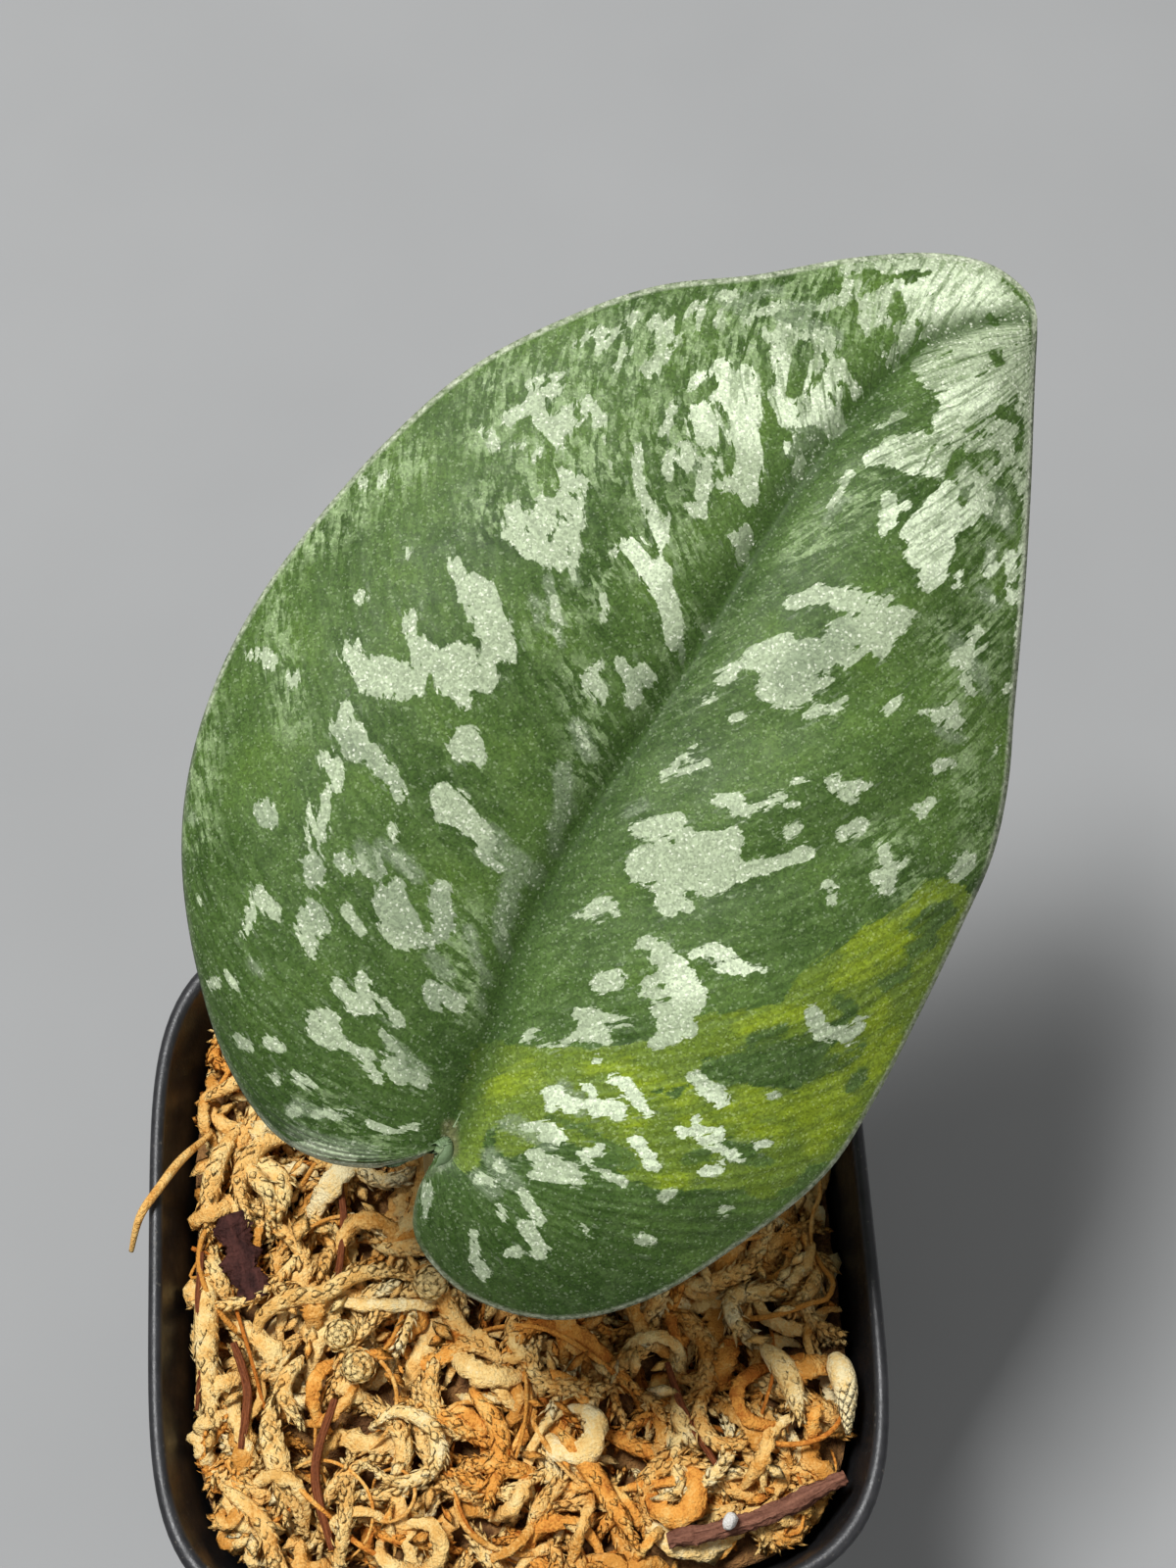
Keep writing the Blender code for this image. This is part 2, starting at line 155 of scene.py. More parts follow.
def make_group(name, inputs, output):
    """Start a node group with these inputs, each a name with its first value."""
    group = bpy.data.node_groups.new(name, "ShaderNodeTree")
    for title, value in inputs.items():
        kind = "NodeSocketVector" if value is None else "NodeSocketFloat"
        socket = group.interface.new_socket(title, in_out="INPUT", socket_type=kind)
        if value is not None:
            socket.default_value = value
    group.interface.new_socket(output, in_out="OUTPUT", socket_type="NodeSocketFloat")
    entry = group.nodes.new("NodeGroupInput")
    leave = group.nodes.new("NodeGroupOutput")
    return group, entry.outputs, leave.inputs[0]


def make_grain_group():
    """Cloudy grain: Size is its width, Along and Across stretch it, Low and High are its range."""
    first = {"Vector": None, "Size": 1.0, "Along": 1.0, "Across": 1.0, "Low": 0.0, "High": 1.0}
    group, given, result = make_group("surface_grain", first, "Value")
    stretch = add_node(group, "CombineXYZ", {0: given["Along"], 1: given["Across"], 2: 1.0})
    squeezed = add_node(group, "VectorMath", {0: given["Vector"], 1: stretch.outputs[0]},
                        operation="DIVIDE")
    scale = maths(group, "DIVIDE", 1.0, given["Size"])
    cloud = add_node(group, "TexNoise", {"Vector": squeezed.outputs[0], "Scale": scale,
                                         "Detail": 3.0, "Roughness": 0.55})
    inputs = {"Value": cloud.outputs["Fac"], "From Min": 0.3, "From Max": 0.7,
              "To Min": given["Low"], "To Max": given["High"]}
    ranged = add_node(group, "MapRange", inputs)
    group.links.new(ranged.outputs[0], result)
    return group


grain_group = make_grain_group()


def grain(tree, where, size, low=0.0, high=1.0, along=1.0, across=1.0):
    """Place the grain group, with its size in millimetres."""
    made = tree.nodes.new("ShaderNodeGroup")
    made.node_tree = grain_group
    tree.links.new(where, made.inputs["Vector"])
    for name, value in (("Size", size * MM), ("Low", low), ("High", high),
                        ("Along", along), ("Across", across)):
        made.inputs[name].default_value = value
    return made.outputs[0]


def new_material(name):
    """A material with its node tree, its Principled shader and the piece's own coordinates."""
    material = bpy.data.materials.new(name)
    material.use_nodes = True
    tree = material.node_tree
    place = add_node(tree, "TexCoord").outputs["Object"]
    return material, tree, tree.nodes["Principled BSDF"], place


def feed(tree, shader, **sockets):
    """Feed the shader's sockets, with underscores for the spaces in their names."""
    for name, value in sockets.items():
        socket = shader.inputs[name.replace("_", " ")]
        if isinstance(value, bpy.types.NodeSocket):
            tree.links.new(value, socket)
        else:
            socket.default_value = value


def bump(tree, height, depth, strength=1.0):
    """The normal of a bumpy surface, its full height given in millimetres."""
    inputs = {"Height": height, "Distance": depth * MM, "Strength": strength}
    return add_node(tree, "Bump", inputs).outputs[0]


def make_plastic():
    material, tree, shader, place = new_material("pot_plastic")
    height = add_node(tree, "SeparateXYZ", {0: place}).outputs[2]
    # painted highlight: the top of the lip is painted paler in patches, where the light catches it; the
    # scuffs below are real wear
    lip = step_up(tree, height, (RIM_TOP - 0.9) * MM, (RIM_TOP - 0.1) * MM)
    lit_lip = maths(tree, "MULTIPLY", grain(tree, place, 1.6, 0.15, 0.8), lip)
    scuffs = maths(tree, "MULTIPLY", grain(tree, place, 0.5, -3.0, 2.0),
                   grain(tree, place, 9.0, -0.2, 0.5))
    wear_and_lip_highlight = maths(tree, "MAXIMUM", lit_lip, maths(tree, "MAXIMUM", scuffs, 0.0))
    colour = mix_colours(tree, wear_and_lip_highlight, PLASTIC_DARK, PLASTIC_WEAR_AND_HIGHLIGHT)
    specks = step_up(tree, grain(tree, place, 0.55), 0.86, 0.97)
    dusty = maths(tree, "MULTIPLY", specks, grain(tree, place, 12.0, 0.0, 0.7))
    colour = mix_colours(tree, dusty, colour, PLASTIC_DUST)
    feed(tree, shader, Base_Color=colour, Roughness=grain(tree, place, 1.1, 0.36, 0.5),
         Normal=bump(tree, grain(tree, place, 0.22), 0.012))
    return material


def make_pot():
    """The wall's profile runs out and up the outside, round the lip and down the inside."""
    lip = [(RIM_HALF - LIP_RADIUS + LIP_RADIUS * math.cos(math.pi * turn / 8),
            RIM_TOP - LIP_RADIUS + LIP_RADIUS * math.sin(math.pi * turn / 8)) for turn in range(9)]
    shape = turned_square([*POT_OUTSIDE, *lip, *POT_INSIDE])
    pot = make_piece("pot_shell", shape, [make_plastic()], "black_plastic", "pot",
                     sharp_angle=40.0)
    drill = bmesh.new()
    for column, row in DRAIN_PLACES:
        spot = Matrix.Translation((column * DRAIN_OFFSET, row * DRAIN_OFFSET, 1.5))
        bmesh.ops.create_cone(drill, cap_ends=True, segments=40, radius1=DRAIN_RADIUS,
                              radius2=DRAIN_RADIUS, depth=8.0, matrix=spot)
    bmesh.ops.scale(drill, vec=(MM, MM, MM), verts=drill.verts)
    holes = bpy.data.objects.new("drain_holes", bpy.data.meshes.new("drain_holes"))
    drill.to_mesh(holes.data)
    drill.free()
    bpy.context.scene.collection.objects.link(holes)
    cut = pot.modifiers.new("drain", "BOOLEAN")
    cut.object = holes
    bpy.context.view_layer.update()
    drilled = pot.evaluated_get(bpy.context.evaluated_depsgraph_get())
    pot.data = bpy.data.meshes.new_from_object(drilled)
    pot.modifiers.clear()
    bpy.data.objects.remove(holes)


make_pot()


# The plug is a root ball's worth of packed sphagnum. What shows of it between the loose strands is
# a knobbly bed of broken moss, level with the pot's collar. Its dark brown is painted shade deep
# between the strands, with cloudy tan patches of painted light.
GAP = 0.35
MOSS_TOP = 60.0
BUMP_HEIGHT = 1.1
BUMP_REACH = 9.0
RIGHT_DIP = ((29.0, 4.0), 3.2, 9.0)
RIGHT_MOUND = ((25.0, -17.0), 1.6, 8.0)
BED_HALF = 31.6
BED_RING_STEP = 0.62
BED_CRUMB = 2.1
BED_CRUMB_HEIGHT = 1.5
BED_DEPTH = 2.9
BED_SHADE_BROWN = (0.150, 0.060, 0.014)
BED_LIT_TAN = (0.50, 0.25, 0.075)


def moss_level(x, y):
    """Height of the moss, with its bumps, the dip and the mound at the right."""
    level = MOSS_TOP + BUMP_HEIGHT * noise.noise(Vector((x / BUMP_REACH, y / BUMP_REACH, 3.1)))
    for (middle, depth, reach), sign in ((RIGHT_DIP, -1.0), (RIGHT_MOUND, 1.0)):
        away = math.hypot(x - middle[0], y - middle[1]) / reach
        level += sign * depth * math.exp(-away * away)
    return level


def make_bed_material():
    material, tree, shader, place = new_material("shaded_moss_bed")
    # painted shade and light: dark brown for the shade between the strands, cloudy tan patches for
    # light
    lit = maths(tree, "MULTIPLY", grain(tree, place, 2.4, -0.25, 1.0),
                grain(tree, place, 0.4, 0.4, 1.2))
    feed(tree, shader, Base_Color=mix_colours(tree, lit, BED_SHADE_BROWN, BED_LIT_TAN), Roughness=0.85,
         Normal=bump(tree, grain(tree, place, 0.35), 0.25))
    return material


def make_moss_bed():
    wall = [(0.0, FLOOR_TOP + GAP), (21.0, FLOOR_TOP + GAP), (23.6, 6.0), (29.9, STEP_HEIGHT - 0.5),
            (31.0, STEP_HEIGHT + 2.0), (31.5, MOSS_TOP - 5.0)]
    rings = int(BED_HALF / BED_RING_STEP)
    top = [(BED_HALF * (1.0 - ring / rings), MOSS_TOP) for ring in range(rings + 1)]
    shape = turned_square(wall + top)
    for vert in shape.verts:
        if vert.co.z == MOSS_TOP:
            crumb = noise.noise(vert.co / BED_CRUMB)
            crumb += 0.5 * noise.noise(vert.co / (0.4 * BED_CRUMB))
            vert.co.z = moss_level(vert.co.x, vert.co.y) - BED_DEPTH + BED_CRUMB_HEIGHT * crumb
    make_piece("moss_bed", shape, [make_bed_material()], "tan_moss", "moss_plug",
               sharp_angle=180.0)


make_moss_bed()


# Loose strands of long-fibre sphagnum cover the bed. Each is a soft rope, a stem wrapped in small
# cupped leaves, dried to gold, cream or rust; torn ribbons, bare stems and flakes lie between. A
# pair is a least and a most, and a third length is the most common one.
ROPE_COUNT = 195
ROPE_LENGTHS = (7.0, 22.0, 11.0)
ROPE_CURLS = (0.2, 0.4, 0.7)
ROPE_THICKNESSES = (0.55, 1.3)
ROPE_LOOSENESS = (0.15, 0.5)
ROPE_CORE = 0.74
ROPE_TAPER = (0.25, 0.75, 1.0, 0.95, 0.7, 0.15)
ROPE_FLATNESS = 0.8
ROPE_LEAF_STEP = 0.20
ROPE_LEAF_SEAT = 0.76
MOSS_LEAF_LENGTH = 1.55
MOSS_LEAF_WIDTH = 1.05
GOLDEN_TURN = 2.39996
RIBBON_COUNT = 165
RIBBON_LENGTHS = (7.0, 18.0)
RIBBON_CURL = 0.6
RIBBON_WIDTHS = (0.4, 1.05)
RIBBON_FLATNESS = (0.3, 0.6)
RIBBON_TAPER = (0.3, 0.9, 1.0, 0.8, 0.15)
BARE_STEM_COUNT = 24
BARE_STEM_LENGTHS = (12.0, 24.0)
BARE_STEM_CURL = 0.35
BARE_STEM_RADII = (0.15, 0.32)
FLAKE_COUNT = 170
FLAKE_LENGTHS = (1.4, 3.8, 2.4)
FLAKE_WIDTHS = (0.35, 0.6)
FLAKE_REACH = 30.0
STRAND_STEP = 1.5
STRAND_LIMIT = 30.9
RUST_MIDDLE = (7.0, -18.0)
RUST_SPREAD = 190.0
RUST_SHARE = 0.55
MOSS_COLOURS = {
    "tan": ((0.640, 0.280, 0.050), (0.880, 0.520, 0.160), (0.940, 0.710, 0.310)),
    "cream": ((0.760, 0.430, 0.120), (0.920, 0.640, 0.250), (0.950, 0.810, 0.470)),
    "rust": ((0.500, 0.160, 0.022), (0.820, 0.360, 0.065), (0.900, 0.560, 0.170)),
}


def curve_point(points, share):
    """The point at a share, from 0 to 1, of a smooth curve through given points."""
    last = len(points) - 1
    spot = min(max(share, 0.0), 1.0) * last
    index = min(int(spot), last - 1)
    f = spot - index
    near = [points[min(max(index + step, 0), last)] for step in (-1, 0, 1, 2)]
    return Vector([
        0.5 * (2 * b + (c - a) * f + (2 * a - 5 * b + 4 * c - d) * f * f
               + (3 * b - a - 3 * c + d) * f ** 3)
        for a, b, c, d in zip(*near)
    ])


def taper(radii, share):
    """The radius at a share of the way along a strand that swells and tapers smoothly."""
    return curve_point([(radius, 0.0) for radius in radii], share)[0]


def walk(route, stops, level=False):
    """Stops along a smooth route, each a point with its ahead, side and rise directions."""
    spots = [curve_point(route, stop / stops) for stop in range(stops + 1)]
    walked = []
    for i, spot in enumerate(spots):
        ahead = (spots[min(i + 1, stops)] - spots[max(i - 1, 0)]).normalized()
        guide = walked[-1][2] if walked else ahead.orthogonal()
        if level:
            guide = ahead.cross(Vector((0, 0, 1)))
        side = (guide - ahead * guide.dot(ahead)).normalized()
        walked.append((spot, ahead, side, ahead.cross(side)))
    return walked


def tube(route, radii, sides=10, rings=24, flatness=1.0, bumps=None):
    """A closed tube along a route; bumps(turn, share) swells it, flatness squashes its height."""
    frames = walk(route, rings, level=flatness != 1.0)
    shape = bmesh.new()
    skin = shape.loops.layers.uv.new("skin")
    bmesh.ops.create_grid(shape, x_segments=sides, y_segments=rings, size=0.5, calc_uvs=True)
    for vert in shape.verts:
        turn, share = vert.co.x + 0.5, vert.co.y + 0.5
        spot, _, side, rise = frames[round(share * rings)]
        radius = taper(radii, share)
        if bumps:
            radius *= bumps(turn * math.tau, share)
        swing = side * math.cos(turn * math.tau) + rise * (math.sin(turn * math.tau) * flatness)
        vert.co = spot + swing * radius
    bmesh.ops.remove_doubles(shape, verts=shape.verts, dist=WELD)
    ends = bmesh.ops.holes_fill(shape, edges=[e for e in shape.edges if e.is_boundary], sides=0)
    bmesh.ops.recalc_face_normals(shape, faces=shape.faces)
    for face in ends["faces"]:
        for loop in face.loops:
            loop[skin].uv = (0.0, 0.0)
    return shape


def absorb(target, shape, tone):
    """Add a shape to a target, with one tone for its colour."""
    layer = shape.verts.layers.float.new("tone")
    for vert in shape.verts:
        vert[layer] = tone
    passing = bpy.data.meshes.new("passing")
    shape.to_mesh(passing)
    shape.free()
    target.from_mesh(passing)
    bpy.data.meshes.remove(passing)


def make_moss_leaf():
    """One moss leaf, one long and one wide: a thin cupped blade that points along +X."""
    shape = bmesh.new()
    bmesh.ops.create_uvsphere(shape, u_segments=6, v_segments=2, radius=1.0)
    for vert in shape.verts:
        x, y, z = vert.co
        if abs(z) > 0.5:
            vert.co = Vector((0.0, 0.0, 0.0)) if z < 0 else Vector((1.0, 0.0, -0.12))
        elif abs(y) > 0.5:
            vert.co = Vector((0.50 + 0.42 * x, (0.50 - 0.10 * x) * y, -0.10))
        else:
            vert.co = Vector((0.50, 0.0, 0.07 if x > 0 else 0.02))
    bmesh.ops.recalc_face_normals(shape, faces=shape.faces)
    leaf = bpy.data.meshes.new("moss_leaf")
    shape.to_mesh(leaf)
    shape.free()
    leaf.attributes.new("tone", "FLOAT", "POINT")
    return leaf


moss_leaf = make_moss_leaf()
moss_leaf_points = np.array([vert.co for vert in moss_leaf.vertices])


def add_moss_leaf(target, base, ahead, outward, length, width, tone):
    """Add one moss leaf whose cup faces outward."""
    across = ahead.cross(outward)
    axes = np.array([ahead * length, across * width, outward * width])
    spots = moss_leaf_points @ axes + np.array(base)
    moss_leaf.vertices.foreach_set("co", spots.ravel())
    moss_leaf.attributes["tone"].data.foreach_set("value", [tone] * len(spots))
    target.from_mesh(moss_leaf)


def clothe(target, dice, route, thickness=1.0, tone=0.5, loose=0.3):
    """Lay a moss rope along a route: a core and small leaves wrapped spirally all along it."""
    length = sum((Vector(b) - Vector(a)).length for a, b in zip(route, route[1:]))
    stops = max(int(length / (ROPE_LEAF_STEP / thickness ** 0.5)), 8)
    radii = [ROPE_CORE * thickness * r for r in ROPE_TAPER]
    core = tube(route, radii, sides=8, rings=max(int(length / 1.1), 5), flatness=ROPE_FLATNESS)
    absorb(target, core, tone - 0.05)
    for stop, (spot, ahead, side, rise) in enumerate(walk(route, stops, level=True)):
        turn = stop * GOLDEN_TURN + dice.uniform(-0.5, 0.5)
        outward = side * math.cos(turn) + rise * (math.sin(turn) * ROPE_FLATNESS)
        lean = max(loose + dice.uniform(-0.25, 0.35), 0.04)
        swell = taper(ROPE_TAPER, stop / stops)
        size = 0.55 + 0.45 * swell
        seat = spot + outward * (ROPE_LEAF_SEAT * ROPE_CORE * thickness * swell)
        points_to = ahead * math.cos(lean) + outward * math.sin(lean)
        faces_to = outward * math.cos(lean) - ahead * math.sin(lean)
        add_moss_leaf(target, seat, points_to, faces_to,
                      MOSS_LEAF_LENGTH * size * dice.uniform(0.75, 1.1),
                      MOSS_LEAF_WIDTH * size * dice.uniform(0.8, 1.2),
                      tone + dice.uniform(-0.06, 0.06))


def inside_pot(x, y):
    """Half width of the bowed square through a point."""
    return (abs(x) ** CORNER_POWER + abs(y) ** CORNER_POWER) ** (1.0 / CORNER_POWER)


def wander(dice, length, curl):
    """Level spots of a loose strand that turns as it goes and keeps off the pot's wall."""
    x, y = dice.uniform(-STRAND_LIMIT, STRAND_LIMIT), dice.uniform(-STRAND_LIMIT, STRAND_LIMIT)
    heading = dice.uniform(0.0, math.tau)
    bend = dice.uniform(-curl, curl)
    spots = []
    for _ in range(max(int(length / STRAND_STEP), 3)):
        if inside_pot(x, y) > STRAND_LIMIT:
            heading = math.atan2(-y, -x) + dice.uniform(-1.4, 1.4)
        spots.append((x, y))
        bend += dice.uniform(-0.1, 0.1)
        heading += bend
        x += STRAND_STEP * math.cos(heading)
        y += STRAND_STEP * math.sin(heading)
    return [spot for spot in spots if inside_pot(*spot) <= STRAND_LIMIT + 0.6]


def drape(spots, lift, tuck=2.0):
    """Lay level spots on the moss so that they arch up to a lift and tuck both ends in."""
    last = len(spots) - 1
    route = []
    for i, (x, y) in enumerate(spots):
        arch = math.sin(math.pi * (i + 0.2) / (last + 0.4)) ** 0.7
        route.append(Vector((x, y, moss_level(x, y) - tuck + (lift + tuck) * arch)))
    return route


def make_moss_material(name, colours):
    """Dry moss: its tone picks the colour, with a cloudy change along it and a fibrous grain."""
    material, tree, shader, place = new_material(name)
    tone = add_node(tree, "Attribute", attribute_name="tone").outputs["Fac"]
    cloud = grain(tree, place, 2.0, -0.34, 0.34)
    fibre = grain(tree, place, 0.25, -0.14, 0.14)
    level = maths(tree, "ADD", maths(tree, "ADD", tone, cloud), fibre)
    low = mix_colours(tree, step_up(tree, level, 0.05, 0.5), colours[0], colours[1])
    colour = mix_colours(tree, step_up(tree, level, 0.45, 0.95), low, colours[2])
    feed(tree, shader, Base_Color=colour, Roughness=0.7, Specular_IOR_Level=0.15,
         Normal=bump(tree, grain(tree, place, 0.32), 0.16))
    return material


moss_materials = {kind: make_moss_material(kind + "_moss_dry", colours)
                  for kind, colours in MOSS_COLOURS.items()}
MOSS_SLOTS = {"tan": "tan_moss", "cream": "cream_moss", "rust": "rust_moss"}


def pick_kind(dice, x, y):
    """Mostly gold and some cream, with more rust near the middle of the pot's front."""
    away = (x - RUST_MIDDLE[0]) ** 2 + (y - RUST_MIDDLE[1]) ** 2
    rusty = RUST_SHARE * math.exp(-away / RUST_SPREAD)
    return dice.choices(("tan", "cream", "rust"), (0.58, 0.30, 0.10 + rusty))[0]


def lay_ropes(heaps, dice):
    """Leafy ropes, each one laid a little higher than the one before; the lower ones are darker, as
    painted shade deep in the heap.
    """
    for count in range(ROPE_COUNT):
        layer = count / ROPE_COUNT
        spots = wander(dice, dice.triangular(*ROPE_LENGTHS), dice.choice(ROPE_CURLS))
        if len(spots) >= 4:
            kind = pick_kind(dice, *spots[len(spots) // 2])
            # painted shade: the tone rises with the layer, so the lower ropes are darker
            tone = 0.15 + 0.45 * layer + dice.uniform(-0.15, 0.2)
            route = drape(spots, -2.2 + 4.0 * layer + dice.uniform(-0.5, 0.6))
            clothe(heaps[kind], dice, route, dice.uniform(*ROPE_THICKNESSES), tone,
                   dice.uniform(*ROPE_LOOSENESS))


def torn(offset):
    """Swellings and nicks for a ribbon's skin. Each offset gives its own."""
    def bumps(turn, share):
        around = Vector((1.6 * math.cos(turn), 1.6 * math.sin(turn), share * 11 + offset))
        return 1.0 + 0.65 * noise.noise(around) + 0.6 * noise.noise(around * 2.9)
    return bumps


def lay_ribbons(heaps, dice):
    """Flat torn ribbons, laid from the bed up as the ropes are."""
    for count in range(RIBBON_COUNT):
        layer = count / RIBBON_COUNT
        spots = wander(dice, dice.uniform(*RIBBON_LENGTHS), RIBBON_CURL)
        if len(spots) >= 4:
            kind = pick_kind(dice, *spots[len(spots) // 2])
            width, offset = dice.uniform(*RIBBON_WIDTHS), dice.uniform(0.0, 90.0)
            route = drape(spots, -1.5 + 3.8 * layer + dice.uniform(-0.5, 0.6), tuck=2.6)
            shape = tube(route, [width * r for r in RIBBON_TAPER], sides=12, rings=26,
                         flatness=dice.uniform(*RIBBON_FLATNESS), bumps=torn(offset))
            absorb(heaps[kind], shape, dice.uniform(0.1, 0.75))


def lay_bare_stems(heaps, dice):
    """Long thin stems that have lost their leaves."""
    for _ in range(BARE_STEM_COUNT):
        spots = wander(dice, dice.uniform(*BARE_STEM_LENGTHS), BARE_STEM_CURL)
        if len(spots) >= 5:
            radius = dice.uniform(*BARE_STEM_RADII)
            route = drape(spots, dice.uniform(0.8, 2.4))
            absorb(heaps[dice.choice(("tan", "rust"))],
                   tube(route, (radius, radius, radius * 0.8), sides=7, rings=26),
                   dice.uniform(-0.1, 0.6))


def lay_flakes(heaps, dice):
    """Single leaves that have come off, lying every way up."""
    for _ in range(FLAKE_COUNT):
        x, y = (dice.uniform(-FLAKE_REACH, FLAKE_REACH) for _ in range(2))
        turn, tip = dice.uniform(0, math.tau), dice.uniform(-0.3, 0.6)
        roll = dice.uniform(-0.8, 0.8)
        ahead = Vector((math.cos(turn) * math.cos(tip), math.sin(turn) * math.cos(tip),
                        math.sin(tip)))
        side = Vector((-math.sin(turn), math.cos(turn), 0.0))
        outward = ahead.cross(side) * math.cos(roll) + side * math.sin(roll)
        if inside_pot(x, y) < STRAND_LIMIT:
            base = Vector((x, y, moss_level(x, y) + dice.uniform(-0.5, 2.0)))
            length = dice.triangular(*FLAKE_LENGTHS)
            add_moss_leaf(heaps[pick_kind(dice, x, y)], base, ahead, outward, length,
                          length * dice.uniform(*FLAKE_WIDTHS), dice.uniform(0.2, 0.8))


def heap_up(name, heaps):
    """Make each colour's heap a piece."""
    for kind, heap in heaps.items():
        make_piece(name.format(kind), heap, [moss_materials[kind]], MOSS_SLOTS[kind],
                   sharp_angle=180.0)


def make_loose_strands(part, seed):
    """One of the two heaps of strands, both laid from the bed up."""
    dice = random.Random(seed)
    heaps = {kind: bmesh.new() for kind in MOSS_COLOURS}
    for lay in (lay_ropes, lay_ribbons, lay_bare_stems, lay_flakes):
        lay(heaps, dice)
    heap_up("loose_{}_" + part, heaps)


make_loose_strands("one", 41)
make_loose_strands("two", 57)


# A few thick strands lie on top of the rest. A fluffy gold clump fills the back of the left side,
# two pale ones run along the left wall, a pale one arches over the others towards the leaf, and a
# short gold one lies by the round heads.
TOP_STRANDS = (
    ("tan", 1.4, 0.62,
     ((-26.4, 14.6, 0.4), (-28.6, 10.6, 1.2), (-29.6, 6.4, 0.6), (-29.8, 3.0, -0.6))),
    ("tan", 1.3, 0.75,
     ((-27.2, 9.6, 0.6), (-24.4, 10.0, 1.6), (-22.2, 8.0, 2.2), (-22.8, 5.2, 1.8),
      (-25.4, 5.6, 0.8))),
    ("tan", 1.3, 0.68,
     ((-21.0, 12.6, 0.2), (-24.0, 12.2, 1.4), (-26.4, 8.6, 2.0), (-25.6, 4.4, 1.2))),
    ("tan", 1.2, 0.80,
     ((-26.8, 11.8, 1.0), (-24.8, 8.4, 2.6), (-23.4, 6.4, 2.4), (-23.8, 3.4, 1.0))),
    ("cream", 1.6, 0.42,
     ((-29.7, 1.6, -0.4), (-29.9, -3.4, 0.6), (-29.8, -9.6, 0.8), (-29.4, -15.6, 0.2))),
    ("cream", 1.1, 0.45,
     ((-23.6, -12.4, -0.2), (-24.2, -16.0, 0.6), (-23.2, -20.4, 0.6), (-22.6, -24.0, 0.0))),
    ("cream", 1.25, 0.30,
     ((-25.6, -8.6, -0.6), (-24.6, -5.4, 1.2), (-21.8, -3.6, 1.8), (-18.6, -3.4, 1.6),
      (-15.6, -1.8, 1.4), (-12.4, -1.4, 1.0), (-9.2, -2.6, 0.2))),
    ("tan", 1.2, 0.70, ((-20.6, -9.0, 0.4), (-22.6, -12.0, 1.0), (-21.0, -15.4, 0.8))),
)
TOP_STRAND_LIFT = 0.8
TOP_STRAND_LOOSENESS = 0.28


def make_top_strands():
    """Each row of the table is a colour, a thickness, a tone and a route of (x, y, lift)."""
    dice = random.Random(23)
    heaps = {"tan": bmesh.new(), "cream": bmesh.new()}
    for kind, thickness, tone, spots in TOP_STRANDS:
        route = [Vector((x, y, moss_level(x, y) + TOP_STRAND_LIFT + lift))
                 for x, y, lift in spots]
        clothe(heaps[kind], dice, route, thickness, tone, TOP_STRAND_LOOSENESS)
    heap_up("top_strands_{}", heaps)


make_top_strands()


# Bits of the forest floor lie among the strands: leafy moss ends, red-brown moss stems, bark and
# twigs. Each takes the place of its plain solid in the frame, on nearly the same route. A row is a
# node, its kind and radius, for the woody ones its flatness, and its (x, y, lift) spots.
LYING_LEAFY = (
    ("moss_curl", "cream", 1.0,
     ((-14.4, -16.4, 0.0), (-11.6, -15.0, 0.4), (-8.4, -16.8, 0.6), (-8.2, -20.2, 0.4),
      (-11.6, -21.6, 0.2), (-14.4, -20.0, 0.0))),
    ("orange_frond_left", "rust", 1.2, ((-4.6, -13.4, 0.0), (-2.0, -18.0, 0.2), (-3.6, -24.4, 0.0))),
    ("orange_frond_right", "rust", 1.2, ((3.4, -17.6, 0.0), (6.6, -22.0, 0.2), (10.0, -28.4, 0.0))),
    ("pale_tuft", "cream", 1.5, ((23.2, -11.2, 0.0), (25.4, -14.2, 0.1), (26.2, -18.4, 0.0))),
    ("moss_strand_left", "tan", 1.1,
     ((-28.6, -20.6, 0.0), (-24.6, -24.4, 0.1), (-23.6, -29.0, 0.0))),
    ("moss_strand_back", "tan", 1.1, ((-30.0, 17.0, 0.0), (-24.4, 20.0, 0.1), (-21.0, 25.0, 0.0))),
    ("moss_strand_far", "tan", 1.1, ((8.0, 22.0, 0.0), (15.0, 24.6, 0.1), (22.0, 21.6, 0.0))),
)
TWIG_RADIUS = 0.9
LYING_WOODY = (
    ("bark_sliver", "bark", 1.7, 0.45, ((-27.6, 5.0, 0.0), (-26.5, 1.0, 0.1), (-25.2, -3.4, 0.0))),
    ("red_stem_back", "stem", 0.5, 1.0,
     ((-17.2, 10.5, 0.0), (-16.4, 4.0, 0.0), (-17.4, -3.4, 0.0))),
    ("red_stem_side", "stem", 0.6, 1.0,
     ((-27.2, -7.4, 0.0), (-26.0, -12.0, 0.0), (-26.6, -17.5, 0.0))),
    ("red_stem_front", "stem", 0.6, 1.0,
     ((-17.6, -13.4, 0.0), (-19.6, -20.0, 0.0), (-18.2, -27.2, 0.0))),
    ("dark_twig", "twig", TWIG_RADIUS, 1.0,
     ((13.0, -28.4, 0.0), (21.4, -27.0, 0.0), (30.0, -23.8, 0.0))),
    ("thin_twig", "stem", 0.5, 1.0, ((14.2, -12.0, 0.0), (15.6, -17.0, 0.0), (18.4, -22.6, 0.0))),
)
LEAFY_LIFT = 0.3
WOODY_LIFT = 0.6
STEM_TAPER = (0.6, 0.7, 0.75, 0.7, 0.5)
BROKEN_TAPER = (0.75, 0.95, 0.85, 1.0, 0.9, 0.7)
BARK_COLOURS = ((0.012, 0.005, 0.005), (0.085, 0.030, 0.024))
STEM_COLOURS = ((0.080, 0.018, 0.006), (0.280, 0.085, 0.028))
TWIG_COLOURS = ((0.070, 0.022, 0.014), (0.300, 0.135, 0.085))


